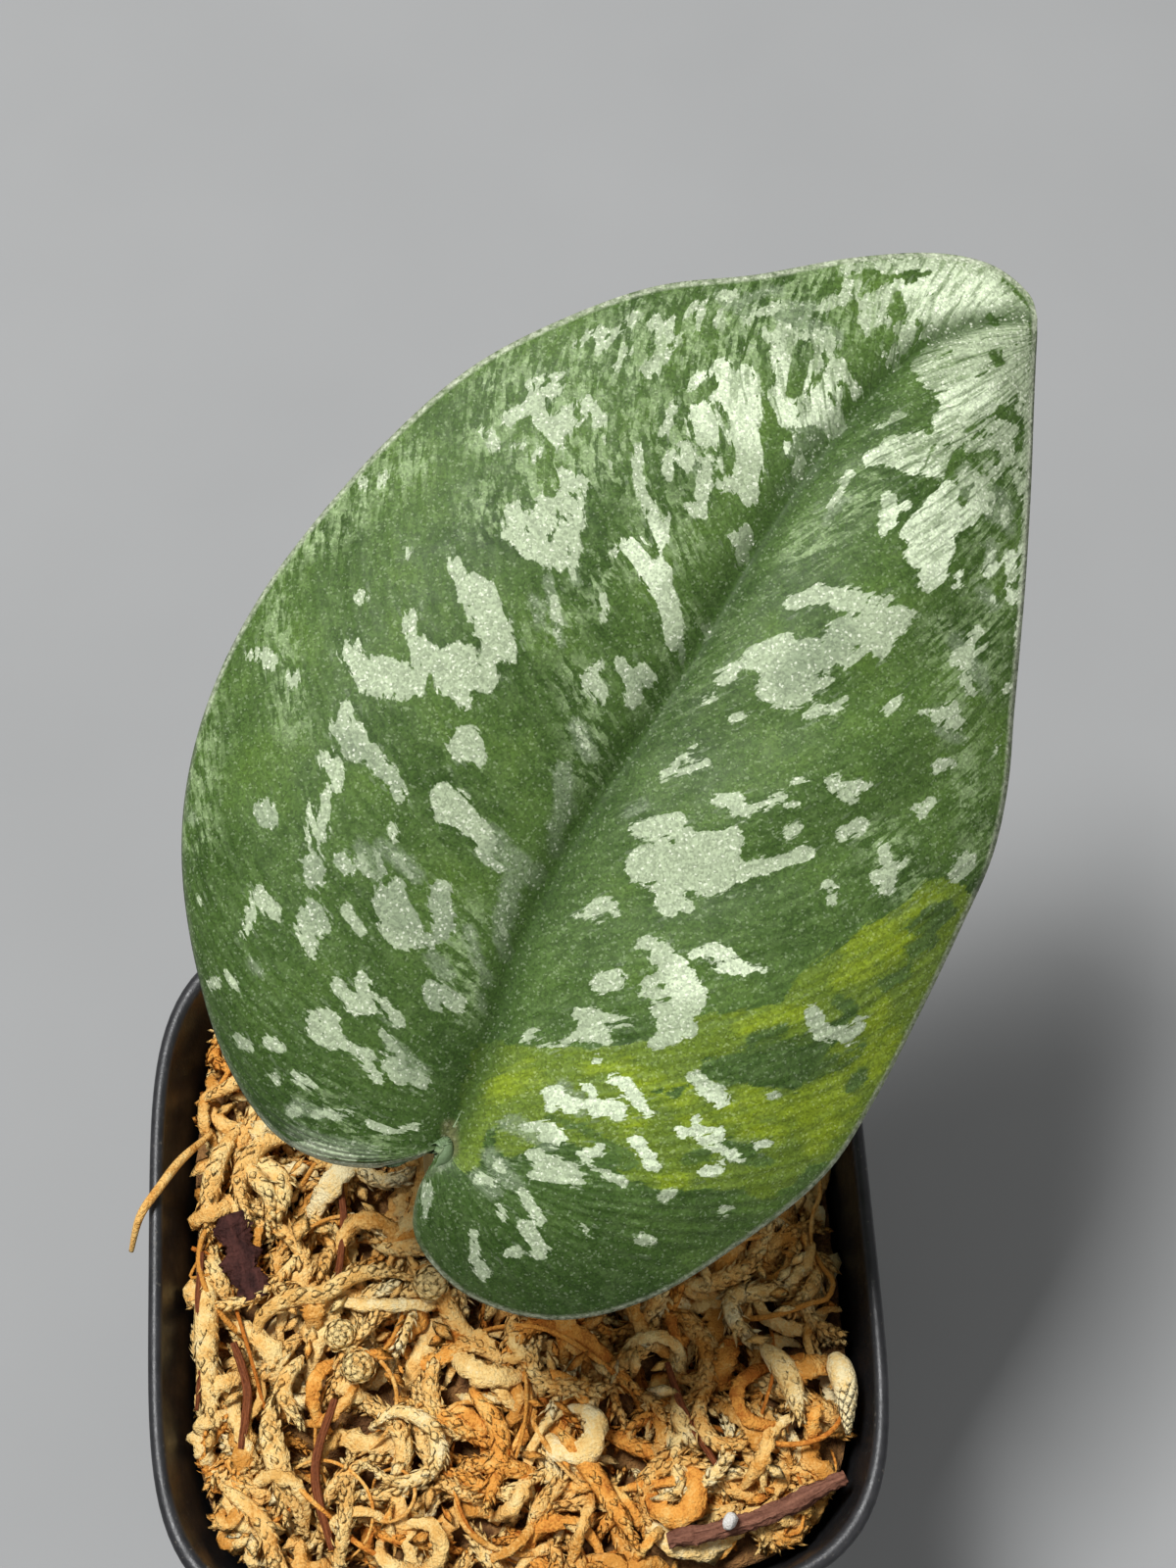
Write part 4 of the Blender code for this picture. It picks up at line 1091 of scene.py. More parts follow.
# Brush strokes of the variegation and of painted light and shade, placed over the photograph and given
# in its pixels: from (x, y) to (x, y), and a half width. on_blade() takes them to millimetres on the
# flat blade.
NOTCH_PIXEL = (455, 1165)
PIXEL_WIDTH = 0.08273
AXIS_TURN = math.radians(35.49)
SILVER = (
    # the large patch high on the left
    (365, 678, 385, 698, 8), (385, 684, 412, 692, 14), (412, 684, 425, 700, 9),
    (352, 665, 370, 690, 6), (421, 648, 427, 675, 4), (450, 672, 456, 695, 11),
    (468, 672, 478, 690, 16), (492, 690, 500, 692, 8), (472, 708, 475, 720, 5),
    (466, 574, 471, 602, 7), (482, 590, 492, 625, 7), (492, 600, 508, 640, 10),
    (508, 638, 514, 662, 11), (521, 655, 523, 672, 6), (363, 655, 365, 668, 3),
    (430, 655, 436, 668, 6), (440, 660, 432, 696, 6), (421, 625, 420, 640, 4),
    (455, 704, 470, 706, 6), (480, 703, 498, 702, 4), (490, 638, 497, 660, 5),
    (496, 655, 500, 684, 6), (470, 604, 472, 610, 5), (415, 640, 418, 625, 2),
    (480, 620, 482, 632, 3), (372, 703, 400, 708, 4), (400, 708, 422, 709, 3),
    # left of it
    (256, 668, 268, 667, 5), (273, 668, 278, 679, 5), (299, 688, 300, 696, 5),
    (372, 487, 370, 497, 4), (392, 485, 388, 494, 4), (366, 610, 369, 608, 5),
    (277, 838, 279, 840, 4), (415, 563, 417, 567, 2),
    # the bent patch and its neighbours
    (352, 722, 354, 740, 5), (350, 742, 366, 765, 11), (372, 762, 398, 795, 8),
    (398, 785, 408, 812, 6), (345, 775, 346, 800, 5), (333, 810, 330, 832, 5),
    (328, 835, 329, 854, 5), (316, 822, 320, 845, 2), (269, 826, 272, 833, 9),
    (312, 848, 319, 856, 3), (468, 764, 480, 771, 7), (483, 750, 488, 774, 6),
    (452, 810, 455, 828, 12), (465, 820, 478, 841, 12), (484, 844, 497, 860, 10),
    (400, 842, 403, 852, 4), (333, 776, 345, 798, 6), (470, 750, 480, 746, 6),
    (463, 758, 476, 757, 6), (328, 772, 330, 780, 4), (368, 744, 376, 752, 4),
    # low on the left
    (319, 882, 322, 893, 11), (265, 912, 280, 932, 7), (256, 928, 252, 952, 4),
    (203, 917, 204, 920, 2), (320, 928, 328, 945, 10), (309, 938, 318, 970, 6),
    (353, 928, 368, 950, 6), (348, 876, 357, 886, 6), (390, 918, 402, 950, 10),
    (405, 908, 420, 950, 11), (450, 909, 453, 945, 10), (405, 962, 440, 962, 5),
    (440, 1008, 468, 1025, 8), (232, 994, 242, 1004, 3), (214, 1003, 222, 1003, 3),
    (335, 1045, 342, 1062, 8), (495, 872, 512, 886, 4), (386, 868, 392, 895, 3),
    (366, 870, 372, 885, 3), (372, 888, 388, 899, 3), (402, 876, 410, 880, 3),
    (410, 890, 418, 892, 3), (511, 940, 515, 955, 3),
    # the left lobe
    (344, 1006, 360, 1022, 7), (370, 1000, 374, 1028, 7), (355, 1028, 375, 1032, 5),
    (320, 1036, 340, 1036, 5), (352, 1066, 376, 1078, 5), (390, 1022, 408, 1044, 4),
    (393, 1056, 410, 1078, 4), (395, 1086, 432, 1104, 6), (374, 1082, 386, 1100, 4),
    (243, 1059, 255, 1067, 4), (274, 1063, 285, 1069, 5), (278, 1098, 284, 1103, 3),
    (302, 1099, 317, 1106, 4), (322, 1137, 356, 1137, 3), (376, 1148, 398, 1154, 3),
    (402, 1154, 424, 1150, 2), (313, 1166, 335, 1174, 4), (335, 1175, 358, 1181, 5),
    (365, 1190, 400, 1188, 2), (316, 1040, 325, 1046, 4), (318, 1052, 330, 1062, 3),
    (438, 1015, 448, 1030, 4), (392, 1072, 408, 1088, 2), (400, 1098, 410, 1104, 4),
    (303, 1170, 325, 1180, 4), (325, 1182, 350, 1190, 4), (350, 1190, 370, 1192, 3),
    (298, 1133, 304, 1135, 3),
    # near the upper margin
    (541, 408, 549, 422, 6), (550, 425, 568, 444, 8), (560, 440, 572, 452, 5),
    (575, 428, 585, 425, 5), (600, 410, 612, 430, 6), (663, 378, 676, 364, 7),
    (674, 444, 688, 416, 4), (705, 392, 715, 383, 4), (733, 300, 749, 302, 4),
    (714, 310, 717, 335, 3), (666, 332, 680, 344, 4), (772, 320, 795, 312, 4),
    (848, 306, 868, 303, 5), (835, 314, 846, 312, 4), (512, 530, 514, 548, 3),
    (492, 438, 500, 441, 3), (503, 450, 506, 458, 4), (522, 425, 532, 420, 7),
    (528, 452, 531, 456, 3), (547, 468, 553, 460, 3), (540, 392, 560, 382, 3),
    (550, 402, 566, 398, 6), (560, 385, 575, 382, 3), (572, 425, 582, 418, 4),
    (583, 433, 592, 432, 3), (605, 342, 617, 338, 5), (625, 340, 635, 337, 4),
    (640, 325, 652, 323, 3), (610, 355, 618, 350, 5), (635, 362, 640, 358, 4),
    (625, 374, 632, 375, 3), (588, 352, 594, 345, 2), (668, 325, 672, 345, 5),
    (672, 340, 690, 322, 4), (690, 350, 692, 345, 4), (731, 320, 736, 332, 4),
    (763, 330, 764, 328, 3), (776, 340, 777, 341, 3), (787, 345, 789, 346, 3),
    (761, 355, 762, 355, 3), (710, 310, 712, 318, 4),
    # high on the left, by the tip
    (800, 335, 804, 372, 5), (800, 372, 797, 400, 7), (790, 402, 801, 430, 7),
    (806, 420, 822, 416, 4), (855, 372, 842, 398, 6), (862, 384, 876, 402, 5),
    (842, 405, 851, 435, 12), (815, 405, 830, 415, 6), (738, 376, 750, 402, 9),
    (751, 408, 761, 445, 15), (763, 445, 763, 495, 11), (715, 425, 722, 444, 12),
    (722, 470, 716, 524, 6), (732, 470, 735, 500, 3), (703, 516, 714, 526, 5),
    (680, 478, 686, 460, 3), (768, 390, 773, 480, 5), (730, 406, 738, 398, 6),
    (760, 380, 765, 392, 6), (792, 358, 796, 380, 5), (835, 342, 850, 352, 6),
    (808, 341, 835, 345, 4), (830, 352, 835, 372, 5), (828, 372, 822, 395, 4),
    (818, 428, 830, 426, 6), (750, 490, 765, 506, 8), (760, 510, 763, 513, 4),
    (804, 450, 803, 460, 3), (818, 468, 812, 486, 4), (676, 596, 684, 618, 8),
    # high on the left, lower
    (528, 543, 540, 560, 9), (522, 522, 536, 530, 5), (551, 516, 553, 545, 6),
    (545, 556, 566, 568, 11), (572, 484, 584, 492, 6), (575, 505, 590, 522, 6),
    (588, 515, 591, 536, 6), (570, 548, 571, 578, 6), (650, 484, 656, 505, 5),
    (660, 508, 670, 540, 5), (674, 555, 683, 526, 3), (701, 455, 704, 470, 5),
    (694, 470, 700, 476, 4), (652, 455, 650, 478, 4), (678, 478, 680, 486, 4),
    (560, 512, 566, 530, 7), (575, 535, 580, 550, 6), (558, 505, 562, 510, 4),
    (593, 487, 598, 500, 3), (583, 545, 588, 568, 5), (585, 570, 587, 588, 3),
    (522, 518, 532, 514, 4), (620, 445, 624, 455, 3), (626, 470, 627, 475, 2),
    (673, 550, 673, 558, 3), (672, 575, 680, 584, 4), (626, 564, 640, 556, 3),
    (638, 550, 640, 556, 3), (565, 612, 570, 645, 3),
    # beside the midrib, left
    (646, 558, 662, 580, 8), (660, 582, 676, 605, 8), (684, 618, 689, 655, 9),
    (694, 650, 697, 672, 4), (722, 640, 718, 655, 3), (757, 545, 757, 575, 4),
    (616, 606, 617, 632, 2), (600, 692, 613, 708, 7), (610, 677, 608, 690, 3),
    (634, 674, 640, 690, 5), (645, 690, 650, 704, 8), (643, 705, 645, 717, 4),
    (655, 682, 664, 696, 4), (762, 542, 763, 550, 5), (746, 551, 748, 552, 3),
    (655, 700, 668, 690, 5), (642, 692, 644, 718, 5), (593, 752, 598, 762, 3),
    (590, 740, 600, 748, 2), (612, 710, 616, 716, 4),
    # the tip, nearly all silver
    (890, 468, 925, 460, 8), (922, 466, 956, 466, 14), (955, 442, 990, 412, 13),
    (965, 415, 1010, 396, 13), (1005, 398, 1024, 382, 11), (952, 384, 990, 366, 13),
    (985, 357, 1030, 337, 13), (990, 375, 1012, 360, 8), (945, 347, 985, 322, 12),
    (985, 327, 1022, 307, 14), (885, 312, 915, 294, 8), (925, 300, 960, 287, 8),
    (965, 294, 1010, 287, 11), (1022, 300, 1040, 322, 11), (1042, 332, 1044, 348, 7),
    (906, 362, 914, 374, 4), (1030, 352, 1032, 395, 7), (1008, 432, 1032, 440, 7),
    (976, 448, 990, 441, 6), (1012, 450, 1030, 458, 6), (984, 490, 992, 484, 6),
    (1008, 475, 1018, 482, 5), (862, 274, 900, 269, 4), (900, 272, 960, 267, 6),
    (960, 270, 1000, 272, 8), (930, 312, 985, 306, 8), (935, 326, 960, 318, 9),
    (922, 338, 932, 344, 8), (922, 356, 932, 352, 7), (882, 325, 892, 336, 7),
    (918, 300, 921, 306, 5), (1042, 340, 1043, 400, 5), (1020, 402, 1040, 396, 5),
    (1005, 412, 1030, 402, 6), (1005, 420, 1012, 416, 4), (985, 440, 1000, 432, 5),
    (990, 455, 1030, 448, 6), (1037, 482, 1044, 500, 5), (1040, 420, 1042, 414, 3),
    (1000, 492, 1010, 505, 7), (990, 530, 998, 520, 6), (1000, 515, 1008, 520, 5),
    (905, 453, 940, 446, 5), (925, 478, 960, 482, 4), (864, 290, 874, 290, 3),
    (1046, 340, 1049, 430, 4), (1049, 430, 1046, 560, 3), (1044, 560, 1038, 690, 2),
    (898, 318, 902, 328, 6), (935, 372, 972, 350, 5), (975, 391, 990, 386, 3),
    (898, 436, 922, 422, 3), (968, 456, 980, 452, 4), (1024, 470, 1040, 468, 5),
    # below the tip
    (932, 545, 968, 502, 11), (938, 566, 975, 526, 13), (950, 590, 962, 562, 12),
    (988, 520, 996, 506, 6), (908, 512, 908, 530, 8), (900, 538, 902, 546, 2),
    (868, 484, 846, 518, 3), (1029, 566, 1033, 588, 5), (1029, 600, 1033, 611, 3),
    (1025, 520, 1027, 532, 3), (1008, 584, 1013, 578, 5), (1012, 567, 1013, 569, 3),
    (1013, 611, 1014, 612, 3), (979, 587, 982, 586, 3), (977, 595, 979, 595, 3),
    (925, 517, 928, 518, 3),
    # the patch right of the midrib
    (736, 693, 765, 676, 6), (770, 673, 802, 658, 11), (792, 690, 828, 670, 19),
    (790, 710, 815, 712, 8), (836, 672, 860, 656, 13), (856, 645, 900, 636, 13),
    (885, 625, 926, 628, 7), (892, 655, 916, 640, 8), (897, 669, 908, 659, 4),
    (808, 615, 830, 609, 7), (835, 606, 875, 609, 8), (880, 612, 905, 612, 5),
    (747, 732, 757, 728, 3), (823, 731, 850, 722, 4), (851, 720, 862, 715, 2),
    (778, 708, 790, 712, 7), (822, 700, 845, 694, 6), (815, 712, 825, 708, 6),
    (862, 675, 880, 662, 5), (718, 714, 726, 711, 3), (850, 618, 880, 620, 5),
    # out to the right margin
    (905, 724, 912, 718, 4), (916, 715, 920, 709, 2), (958, 727, 970, 730, 5),
    (971, 724, 980, 740, 4), (976, 670, 990, 663, 7), (990, 655, 998, 645, 3),
    (985, 694, 992, 705, 4), (956, 785, 968, 778, 5), (843, 797, 851, 796, 3),
    (858, 806, 885, 802, 5), (862, 813, 872, 816, 4), (858, 852, 880, 839, 5),
    (862, 850, 875, 845, 4), (936, 824, 942, 831, 3), (942, 826, 950, 818, 3),
    (979, 890, 990, 877, 5), (976, 897, 980, 893, 3), (902, 865, 904, 877, 4),
    (905, 884, 922, 880, 4), (898, 895, 908, 896, 8), (899, 908, 903, 912, 3),
    (844, 907, 851, 907, 3), (848, 910, 849, 917, 3), (955, 730, 972, 722, 5),
    (960, 738, 980, 740, 3), (942, 727, 947, 726, 2), (1001, 663, 1006, 657, 2),
    (980, 678, 988, 677, 4), (1028, 698, 1028, 705, 2), (845, 905, 849, 920, 4),
    (662, 902, 672, 908, 5), (972, 893, 980, 885, 5), (974, 874, 978, 876, 3),
    (932, 823, 942, 826, 2), (1015, 768, 1019, 762, 2), (953, 782, 957, 777, 3),
    (850, 802, 862, 812, 4), (840, 797, 853, 791, 2), (812, 797, 822, 796, 2),
    (898, 908, 908, 908, 4),
    # the largest patch
    (652, 847, 690, 838, 8), (690, 848, 706, 852, 6), (655, 884, 740, 868, 16),
    (700, 862, 746, 858, 12), (682, 896, 735, 900, 12), (745, 893, 765, 889, 8),
    (770, 888, 824, 870, 7), (675, 920, 686, 930, 6), (690, 918, 700, 927, 6),
    (733, 817, 755, 816, 5), (750, 823, 760, 829, 6), (770, 825, 785, 819, 4),
    (787, 815, 799, 812, 4), (803, 822, 815, 821, 3), (804, 850, 815, 843, 5),
    (676, 793, 690, 780, 3), (690, 778, 709, 767, 3), (695, 786, 720, 779, 4),
    (600, 930, 620, 922, 5), (622, 922, 630, 926, 2), (650, 855, 688, 852, 3),
    (805, 822, 812, 820, 3), (698, 775, 710, 763, 2), (585, 935, 598, 930, 2),
    (612, 938, 628, 934, 2),
    # below it
    (656, 962, 675, 967, 6), (672, 975, 690, 985, 9), (682, 985, 700, 1000, 12),
    (690, 1010, 712, 1020, 11), (658, 1012, 675, 1010, 5), (672, 1030, 706, 1030, 8),
    (680, 1045, 700, 1047, 10), (668, 1064, 690, 1058, 5), (610, 1005, 628, 1002, 8),
    (618, 998, 631, 997, 5), (592, 1033, 610, 1036, 6), (598, 1046, 612, 1050, 8),
    (577, 1062, 590, 1057, 4), (548, 1068, 575, 1065, 2), (620, 1045, 650, 1042, 2),
    (606, 1061, 621, 1059, 3), (534, 1062, 545, 1055, 4), (708, 974, 722, 970, 3),
    (728, 970, 740, 974, 7), (746, 982, 760, 990, 7), (765, 991, 777, 988, 3),
    (660, 1006, 675, 995, 5), (665, 1022, 685, 1018, 3), (722, 978, 738, 988, 3),
    (620, 1041, 638, 1040, 3), (598, 1060, 618, 1060, 4), (608, 1085, 610, 1077, 2),
    # in the lime
    (826, 1032, 830, 1050, 5), (836, 1052, 860, 1058, 6), (877, 1045, 884, 1042, 2),
    (710, 1099, 718, 1108, 7), (722, 1109, 735, 1120, 8), (786, 1118, 794, 1117, 2),
    (597, 1110, 607, 1126, 5), (608, 1131, 632, 1132, 8), (626, 1100, 640, 1105, 4),
    (640, 1110, 652, 1124, 7), (651, 1126, 662, 1135, 5), (570, 1118, 583, 1128, 8),
    (596, 1178, 612, 1173, 5), (600, 1188, 618, 1196, 2), (620, 1197, 635, 1207, 4),
    (649, 1165, 662, 1180, 6), (660, 1179, 668, 1191, 5), (697, 1155, 735, 1154, 4),
    (715, 1160, 735, 1170, 4), (738, 1172, 755, 1180, 3), (718, 1194, 735, 1192, 4),
    (771, 1170, 782, 1166, 3), (677, 1221, 688, 1215, 4), (560, 1112, 562, 1130, 5),
    (836, 1050, 860, 1057, 7), (862, 1060, 878, 1046, 6), (830, 1030, 835, 1040, 5),
    (562, 1150, 572, 1160, 5), (545, 1200, 590, 1206, 4), (694, 1153, 700, 1155, 3),
    (707, 1143, 712, 1142, 2),
    # the right lobe
    (545, 1178, 560, 1194, 8), (560, 1188, 585, 1198, 9), (585, 1200, 592, 1208, 3),
    (536, 1152, 560, 1148, 4), (556, 1158, 568, 1164, 6), (533, 1217, 552, 1246, 4),
    (539, 1252, 551, 1274, 8), (483, 1262, 488, 1285, 3), (490, 1288, 496, 1298, 4),
    (520, 1276, 528, 1276, 3), (510, 1232, 514, 1244, 3), (653, 1265, 668, 1265, 3),
    (655, 1258, 656, 1260, 2), (594, 1255, 606, 1264, 2), (735, 1237, 745, 1234, 2),
    (435, 1208, 434, 1238, 3), (483, 1260, 485, 1280, 3), (485, 1285, 496, 1300, 5),
    (518, 1277, 526, 1278, 4), (490, 1203, 500, 1205, 4), (508, 1188, 512, 1192, 3),
    (595, 1253, 600, 1256, 3), (655, 1268, 668, 1270, 3), (676, 1217, 690, 1214, 3),
)
SATIN = (
    (508, 865, 545, 895, 11), (498, 850, 528, 878, 9), (522, 900, 515, 940, 10),
    (510, 945, 516, 975, 7), (590, 740, 601, 770, 9), (575, 785, 575, 830, 9),
    (565, 845, 568, 870, 6), (440, 975, 456, 992, 6), (478, 950, 498, 1004, 5),
    (490, 1015, 494, 1028, 3), (560, 592, 572, 655, 4), (546, 612, 550, 640, 4),
    (582, 548, 588, 595, 4), (735, 300, 760, 318, 6), (800, 320, 850, 345, 9),
    (985, 500, 1022, 525, 9), (1010, 555, 1012, 582, 5), (1000, 600, 1012, 615, 6),
    (1015, 508, 1030, 540, 5), (975, 655, 1000, 690, 8), (520, 1145, 560, 1165, 9),
    (500, 1180, 520, 1205, 8), (515, 1190, 532, 1214, 4), (488, 1200, 505, 1215, 6),
    (575, 1112, 590, 1130, 9), (640, 830, 656, 822, 4), (860, 512, 842, 530, 4),
    (800, 500, 830, 480, 6), (805, 460, 840, 445, 6), (810, 430, 840, 440, 8),
    (700, 460, 715, 480, 5), (960, 745, 980, 755, 5), (1002, 690, 1008, 705, 4),
    (300, 1130, 325, 1136, 6), (300, 1155, 380, 1178, 6), (400, 1065, 430, 1090, 6),
    (366, 862, 385, 892, 6), (388, 865, 425, 893, 8), (256, 982, 264, 992, 3),
    (508, 935, 518, 968, 5), (985, 480, 1010, 520, 8), (1015, 500, 1030, 520, 6),
    (835, 440, 840, 455, 6), (822, 455, 830, 472, 5), (193, 830, 196, 838, 4),
    (805, 312, 830, 314, 4), (785, 296, 795, 297, 4), (757, 308, 774, 300, 4),
)
ISLANDS = (
    (488, 652, 490, 668, 3), (848, 402, 852, 412, 3), (819, 357, 811, 398, 9),
    (740, 422, 742, 440, 4), (812, 632, 848, 626, 6), (825, 648, 832, 646, 3),
    (640, 862, 660, 861, 2), (1010, 323, 1016, 330, 4), (1014, 362, 1020, 370, 5),
    (925, 414, 953, 414, 7), (945, 426, 948, 438, 5), (917, 302, 919, 318, 5),
    (936, 328, 940, 335, 3), (930, 358, 944, 349, 4), (892, 340, 900, 335, 5),
    (416, 905, 428, 930, 4), (365, 900, 376, 912, 6), (885, 415, 900, 425, 8),
    (838, 440, 842, 446, 3), (1010, 498, 1016, 500, 4), (985, 500, 982, 515, 4),
    (960, 440, 935, 492, 1), (940, 330, 930, 360, 2), (1010, 425, 985, 440, 2),
    (438, 690, 438, 708, 4), (758, 688, 772, 690, 5), (588, 1112, 596, 1118, 4),
    (566, 520, 570, 524, 3), (562, 540, 564, 541, 2), (826, 354, 826, 362, 6),
)
OLIVE = (
    (500, 1085, 590, 1090, 20), (600, 1095, 690, 1085, 24), (700, 1060, 820, 1045, 22),
    (830, 1020, 900, 970, 28), (900, 960, 960, 925, 20), (960, 930, 900, 1060, 34),
    (890, 1070, 830, 1150, 34), (820, 1160, 780, 1200, 22), (720, 1130, 800, 1140, 28),
    (620, 1130, 700, 1150, 26), (690, 1200, 780, 1195, 14), (490, 1130, 560, 1110, 20),
    (640, 1190, 680, 1205, 10), (500, 1110, 620, 1150, 26), (485, 1120, 478, 1180, 13),
    (520, 1165, 560, 1150, 14), (640, 1165, 720, 1180, 16),
)
LIME = (
    (875, 965, 905, 950, 10), (900, 975, 935, 950, 8), (870, 990, 885, 985, 8),
    (850, 1090, 890, 1075, 7), (825, 1135, 855, 1120, 16), (830, 1165, 850, 1150, 8),
    (765, 1120, 800, 1135, 9), (765, 1150, 790, 1155, 7), (745, 1140, 750, 1130, 5),
    (700, 1140, 720, 1150, 5), (680, 1210, 700, 1205, 5), (640, 1150, 650, 1145, 4),
    (890, 1050, 900, 1030, 6), (855, 1000, 865, 995, 5), (505, 1110, 540, 1100, 9),
    (640, 1100, 700, 1120, 8), (760, 1045, 820, 1030, 6), (890, 1090, 915, 1060, 7),
    (930, 930, 950, 915, 6), (600, 1090, 640, 1088, 3),
)
DARK = (
    (745, 1090, 830, 1065, 14), (800, 1100, 850, 1085, 8), (860, 1085, 880, 1070, 4),
    (735, 1105, 745, 1095, 3), (770, 1060, 800, 1052, 5), (935, 945, 965, 930, 9),
    (905, 1005, 925, 990, 6), (930, 970, 950, 960, 6), (870, 1110, 880, 1095, 5),
    (620, 1172, 640, 1185, 9), (745, 1175, 780, 1185, 6), (700, 1185, 720, 1180, 5),
    (600, 1155, 612, 1160, 5), (855, 1020, 870, 1030, 5), (590, 1148, 560, 1140, 3),
)
MIST = (
    (520, 400, 860, 310, 38), (560, 470, 700, 440, 36), (300, 560, 420, 470, 16),
    (210, 720, 200, 850, 10), (1018, 480, 1000, 700, 12), (960, 640, 1000, 860, 10),
    (320, 1120, 400, 1180, 8), (670, 720, 720, 640, 14), (820, 560, 880, 500, 14),
    (300, 740, 280, 600, 10), (470, 940, 480, 1020, 16), (700, 520, 560, 640, 14),
    (500, 440, 640, 340, 26), (500, 520, 640, 450, 22), (700, 560, 640, 480, 14),
    (640, 340, 860, 305, 22), (900, 860, 930, 900, 16), (590, 690, 610, 790, 14),
    (1000, 520, 1010, 620, 14),
)
# painted light and shade: the next table brightens the silver's sheen where light is painted, and SHADY
# dulls it and the pale margin where shade is painted
LIT_STROKES = (
    (740, 400, 860, 440, 40), (600, 1130, 740, 1165, 40), (930, 300, 1000, 300, 16),
    (950, 425, 1000, 400, 12), (940, 520, 1020, 600, 40), (700, 1000, 760, 985, 16),
    (660, 560, 690, 620, 20),
)
SHADY = (
    (350, 880, 440, 940, 34), (440, 1010, 520, 880, 30), (260, 830, 330, 930, 20),
    (400, 1060, 430, 1100, 16), (850, 650, 810, 690, 22), (690, 600, 700, 660, 14),
    (640, 690, 660, 700, 10), (985, 890, 980, 880, 12), (345, 750, 400, 800, 14),
    (380, 880, 430, 900, 20), (215, 750, 190, 900, 8), (190, 900, 206, 1010, 8),
    (206, 1010, 268, 1120, 8), (448, 1168, 472, 1150, 8), (466, 1160, 464, 1185, 8),
    (440, 1205, 428, 1260, 8),
)
STALK_END = (
    (459, 1150, 460, 1172, 8),
)

VARIEGATION_AND_PAINTED_LIGHT = {"silver": SILVER, "satin": SATIN, "island": ISLANDS, "olive": OLIVE, "lime": LIME,
               "dark": DARK, "mist": MIST, "lit_strokes": LIT_STROKES, "shady": SHADY, "stalk_end": STALK_END}

LEAF_DEEP = (0.034, 0.072, 0.013)
LEAF_GREEN = (0.072, 0.133, 0.028)
LEAF_VIVID = (0.082, 0.150, 0.025)
LEAF_OLIVE = (0.138, 0.205, 0.020)
LEAF_LIME = (0.250, 0.335, 0.014)
LEAF_MIST = (0.245, 0.340, 0.155)
LEAF_SILVER_LIT = (0.620, 0.715, 0.495)
LEAF_SILVER_PLAIN = (0.380, 0.455, 0.290)
LEAF_DIM_SILVER_AND_SHADE = (0.215, 0.275, 0.165)
LEAF_PALE_RIM_AND_HIGHLIGHT = (0.50, 0.545, 0.40)
LEAF_STALK_END = (0.140, 0.145, 0.060)
LEAF_GLINT = (0.86, 0.88, 0.74)
RIM_SHADE = (0.34, 0.36, 0.24)
UNDERSIDE = (0.150, 0.225, 0.110)
UNDERSIDE_CLOUD = (0.105, 0.17, 0.07)
UNDERSIDE_VEIN = (0.260, 0.330, 0.170)


def blade_relief(side, reach, width, along):
    """Height of the blade over its plane: arched halves, rolled margins and a hanging tip."""
    if side < 0:
        arch = ARCHES[side] * width * math.sin(math.pi * reach ** 0.85)
        flatter = (along - LEFT_FLATTENS_FROM) / LEFT_FLATTENS_OVER
        arch *= 1.0 - 0.75 * min(max(flatter, 0.0), 1.0)
    else:
        arch = ARCHES[side] * width * math.sin(math.pi * reach)
    roll = ROLLS[side] * width * reach ** 3
    length = 1.2 - 3.0 * ((along - BACK_HIGHEST) / BACK_LENGTH) ** 2
    tip = 4.0 * max(0.0, (along - TIP_HANGS_FROM) / TIP_LENGTH) ** 2
    lobes = 0.018 * min(along, 0.0) ** 2
    return arch - roll + length - tip - lobes


def blade_row(share):
    """The vein at a share of the way from tip to notch: its foot and its two ends."""
    return [curve_point([row[part] for row in VEIN_ROWS], share) for part in range(3)]


def flat_spot(row, side, reach):
    """A point on one vein, on the flat blade, and the direction that the vein takes there."""
    foot, end = row[0], row[2] if side > 0 else row[1]
    vein = end - foot
    bend = side * VEIN_BENDS[side] * 4
    bow = Vector((vein.y, -vein.x)) * (bend * min(1.0, vein.length / 20))
    spot = foot + vein * reach + bow * (reach * (1 - reach))
    heading = vein + bow * (1 - 2 * reach)
    return spot, heading, vein.length


def place_on_blade(spot, height):
    """A flat spot raised to its height and set in the frame, as wide as it looks from the front."""
    spot = SIGHT_SPOT + (spot - SIGHT_SPOT) * (1.0 - height / SIGHT_DISTANCE)
    return JUNCTION + ACROSS * spot.x + ALONG * spot.y + OUTWARD * height


def fine_relief(side, reach, width, spacing, spread, foot_height):
    """The midrib's channel, the quilting between side veins, and the margin's narrow roll."""
    out = reach * width
    channel = -MIDRIB_CHANNEL * math.exp(-(out / MIDRIB_CHANNEL_REACH) ** 2)
    channel *= min(1.0, width / 12.0)
    quilt = -QUILT_DEPTH * math.cos(math.tau * spacing / SIDE_VEIN_STEP) ** 6
    quilt *= min(1.0, out / 5.0) * min(1.0, (width - out) / 3.0) * spread ** 2
    margin = -MARGIN_DROP * max(0.0, 1.0 - (width - out) / MARGIN_REACH)
    wave = 0.0
    if side > 0:
        for middle, reach_along in RIGHT_WAVES:
            wave -= RIGHT_WAVE_DEPTH * math.exp(-((foot_height - middle) / reach_along) ** 2)
        wave *= math.sin(math.pi * min(reach, 1.0)) * min(1.0, width / 15.0)
    return channel + quilt + margin + wave


def on_blade(column, row):
    """The place on the flat blade, in millimetres, of a pixel of the photograph."""
    right, down = (column - NOTCH_PIXEL[0]) * PIXEL_WIDTH, (row - NOTCH_PIXEL[1]) * PIXEL_WIDTH
    return (right * math.cos(AXIS_TURN) + down * math.sin(AXIS_TURN),
            right * math.sin(AXIS_TURN) - down * math.cos(AXIS_TURN))


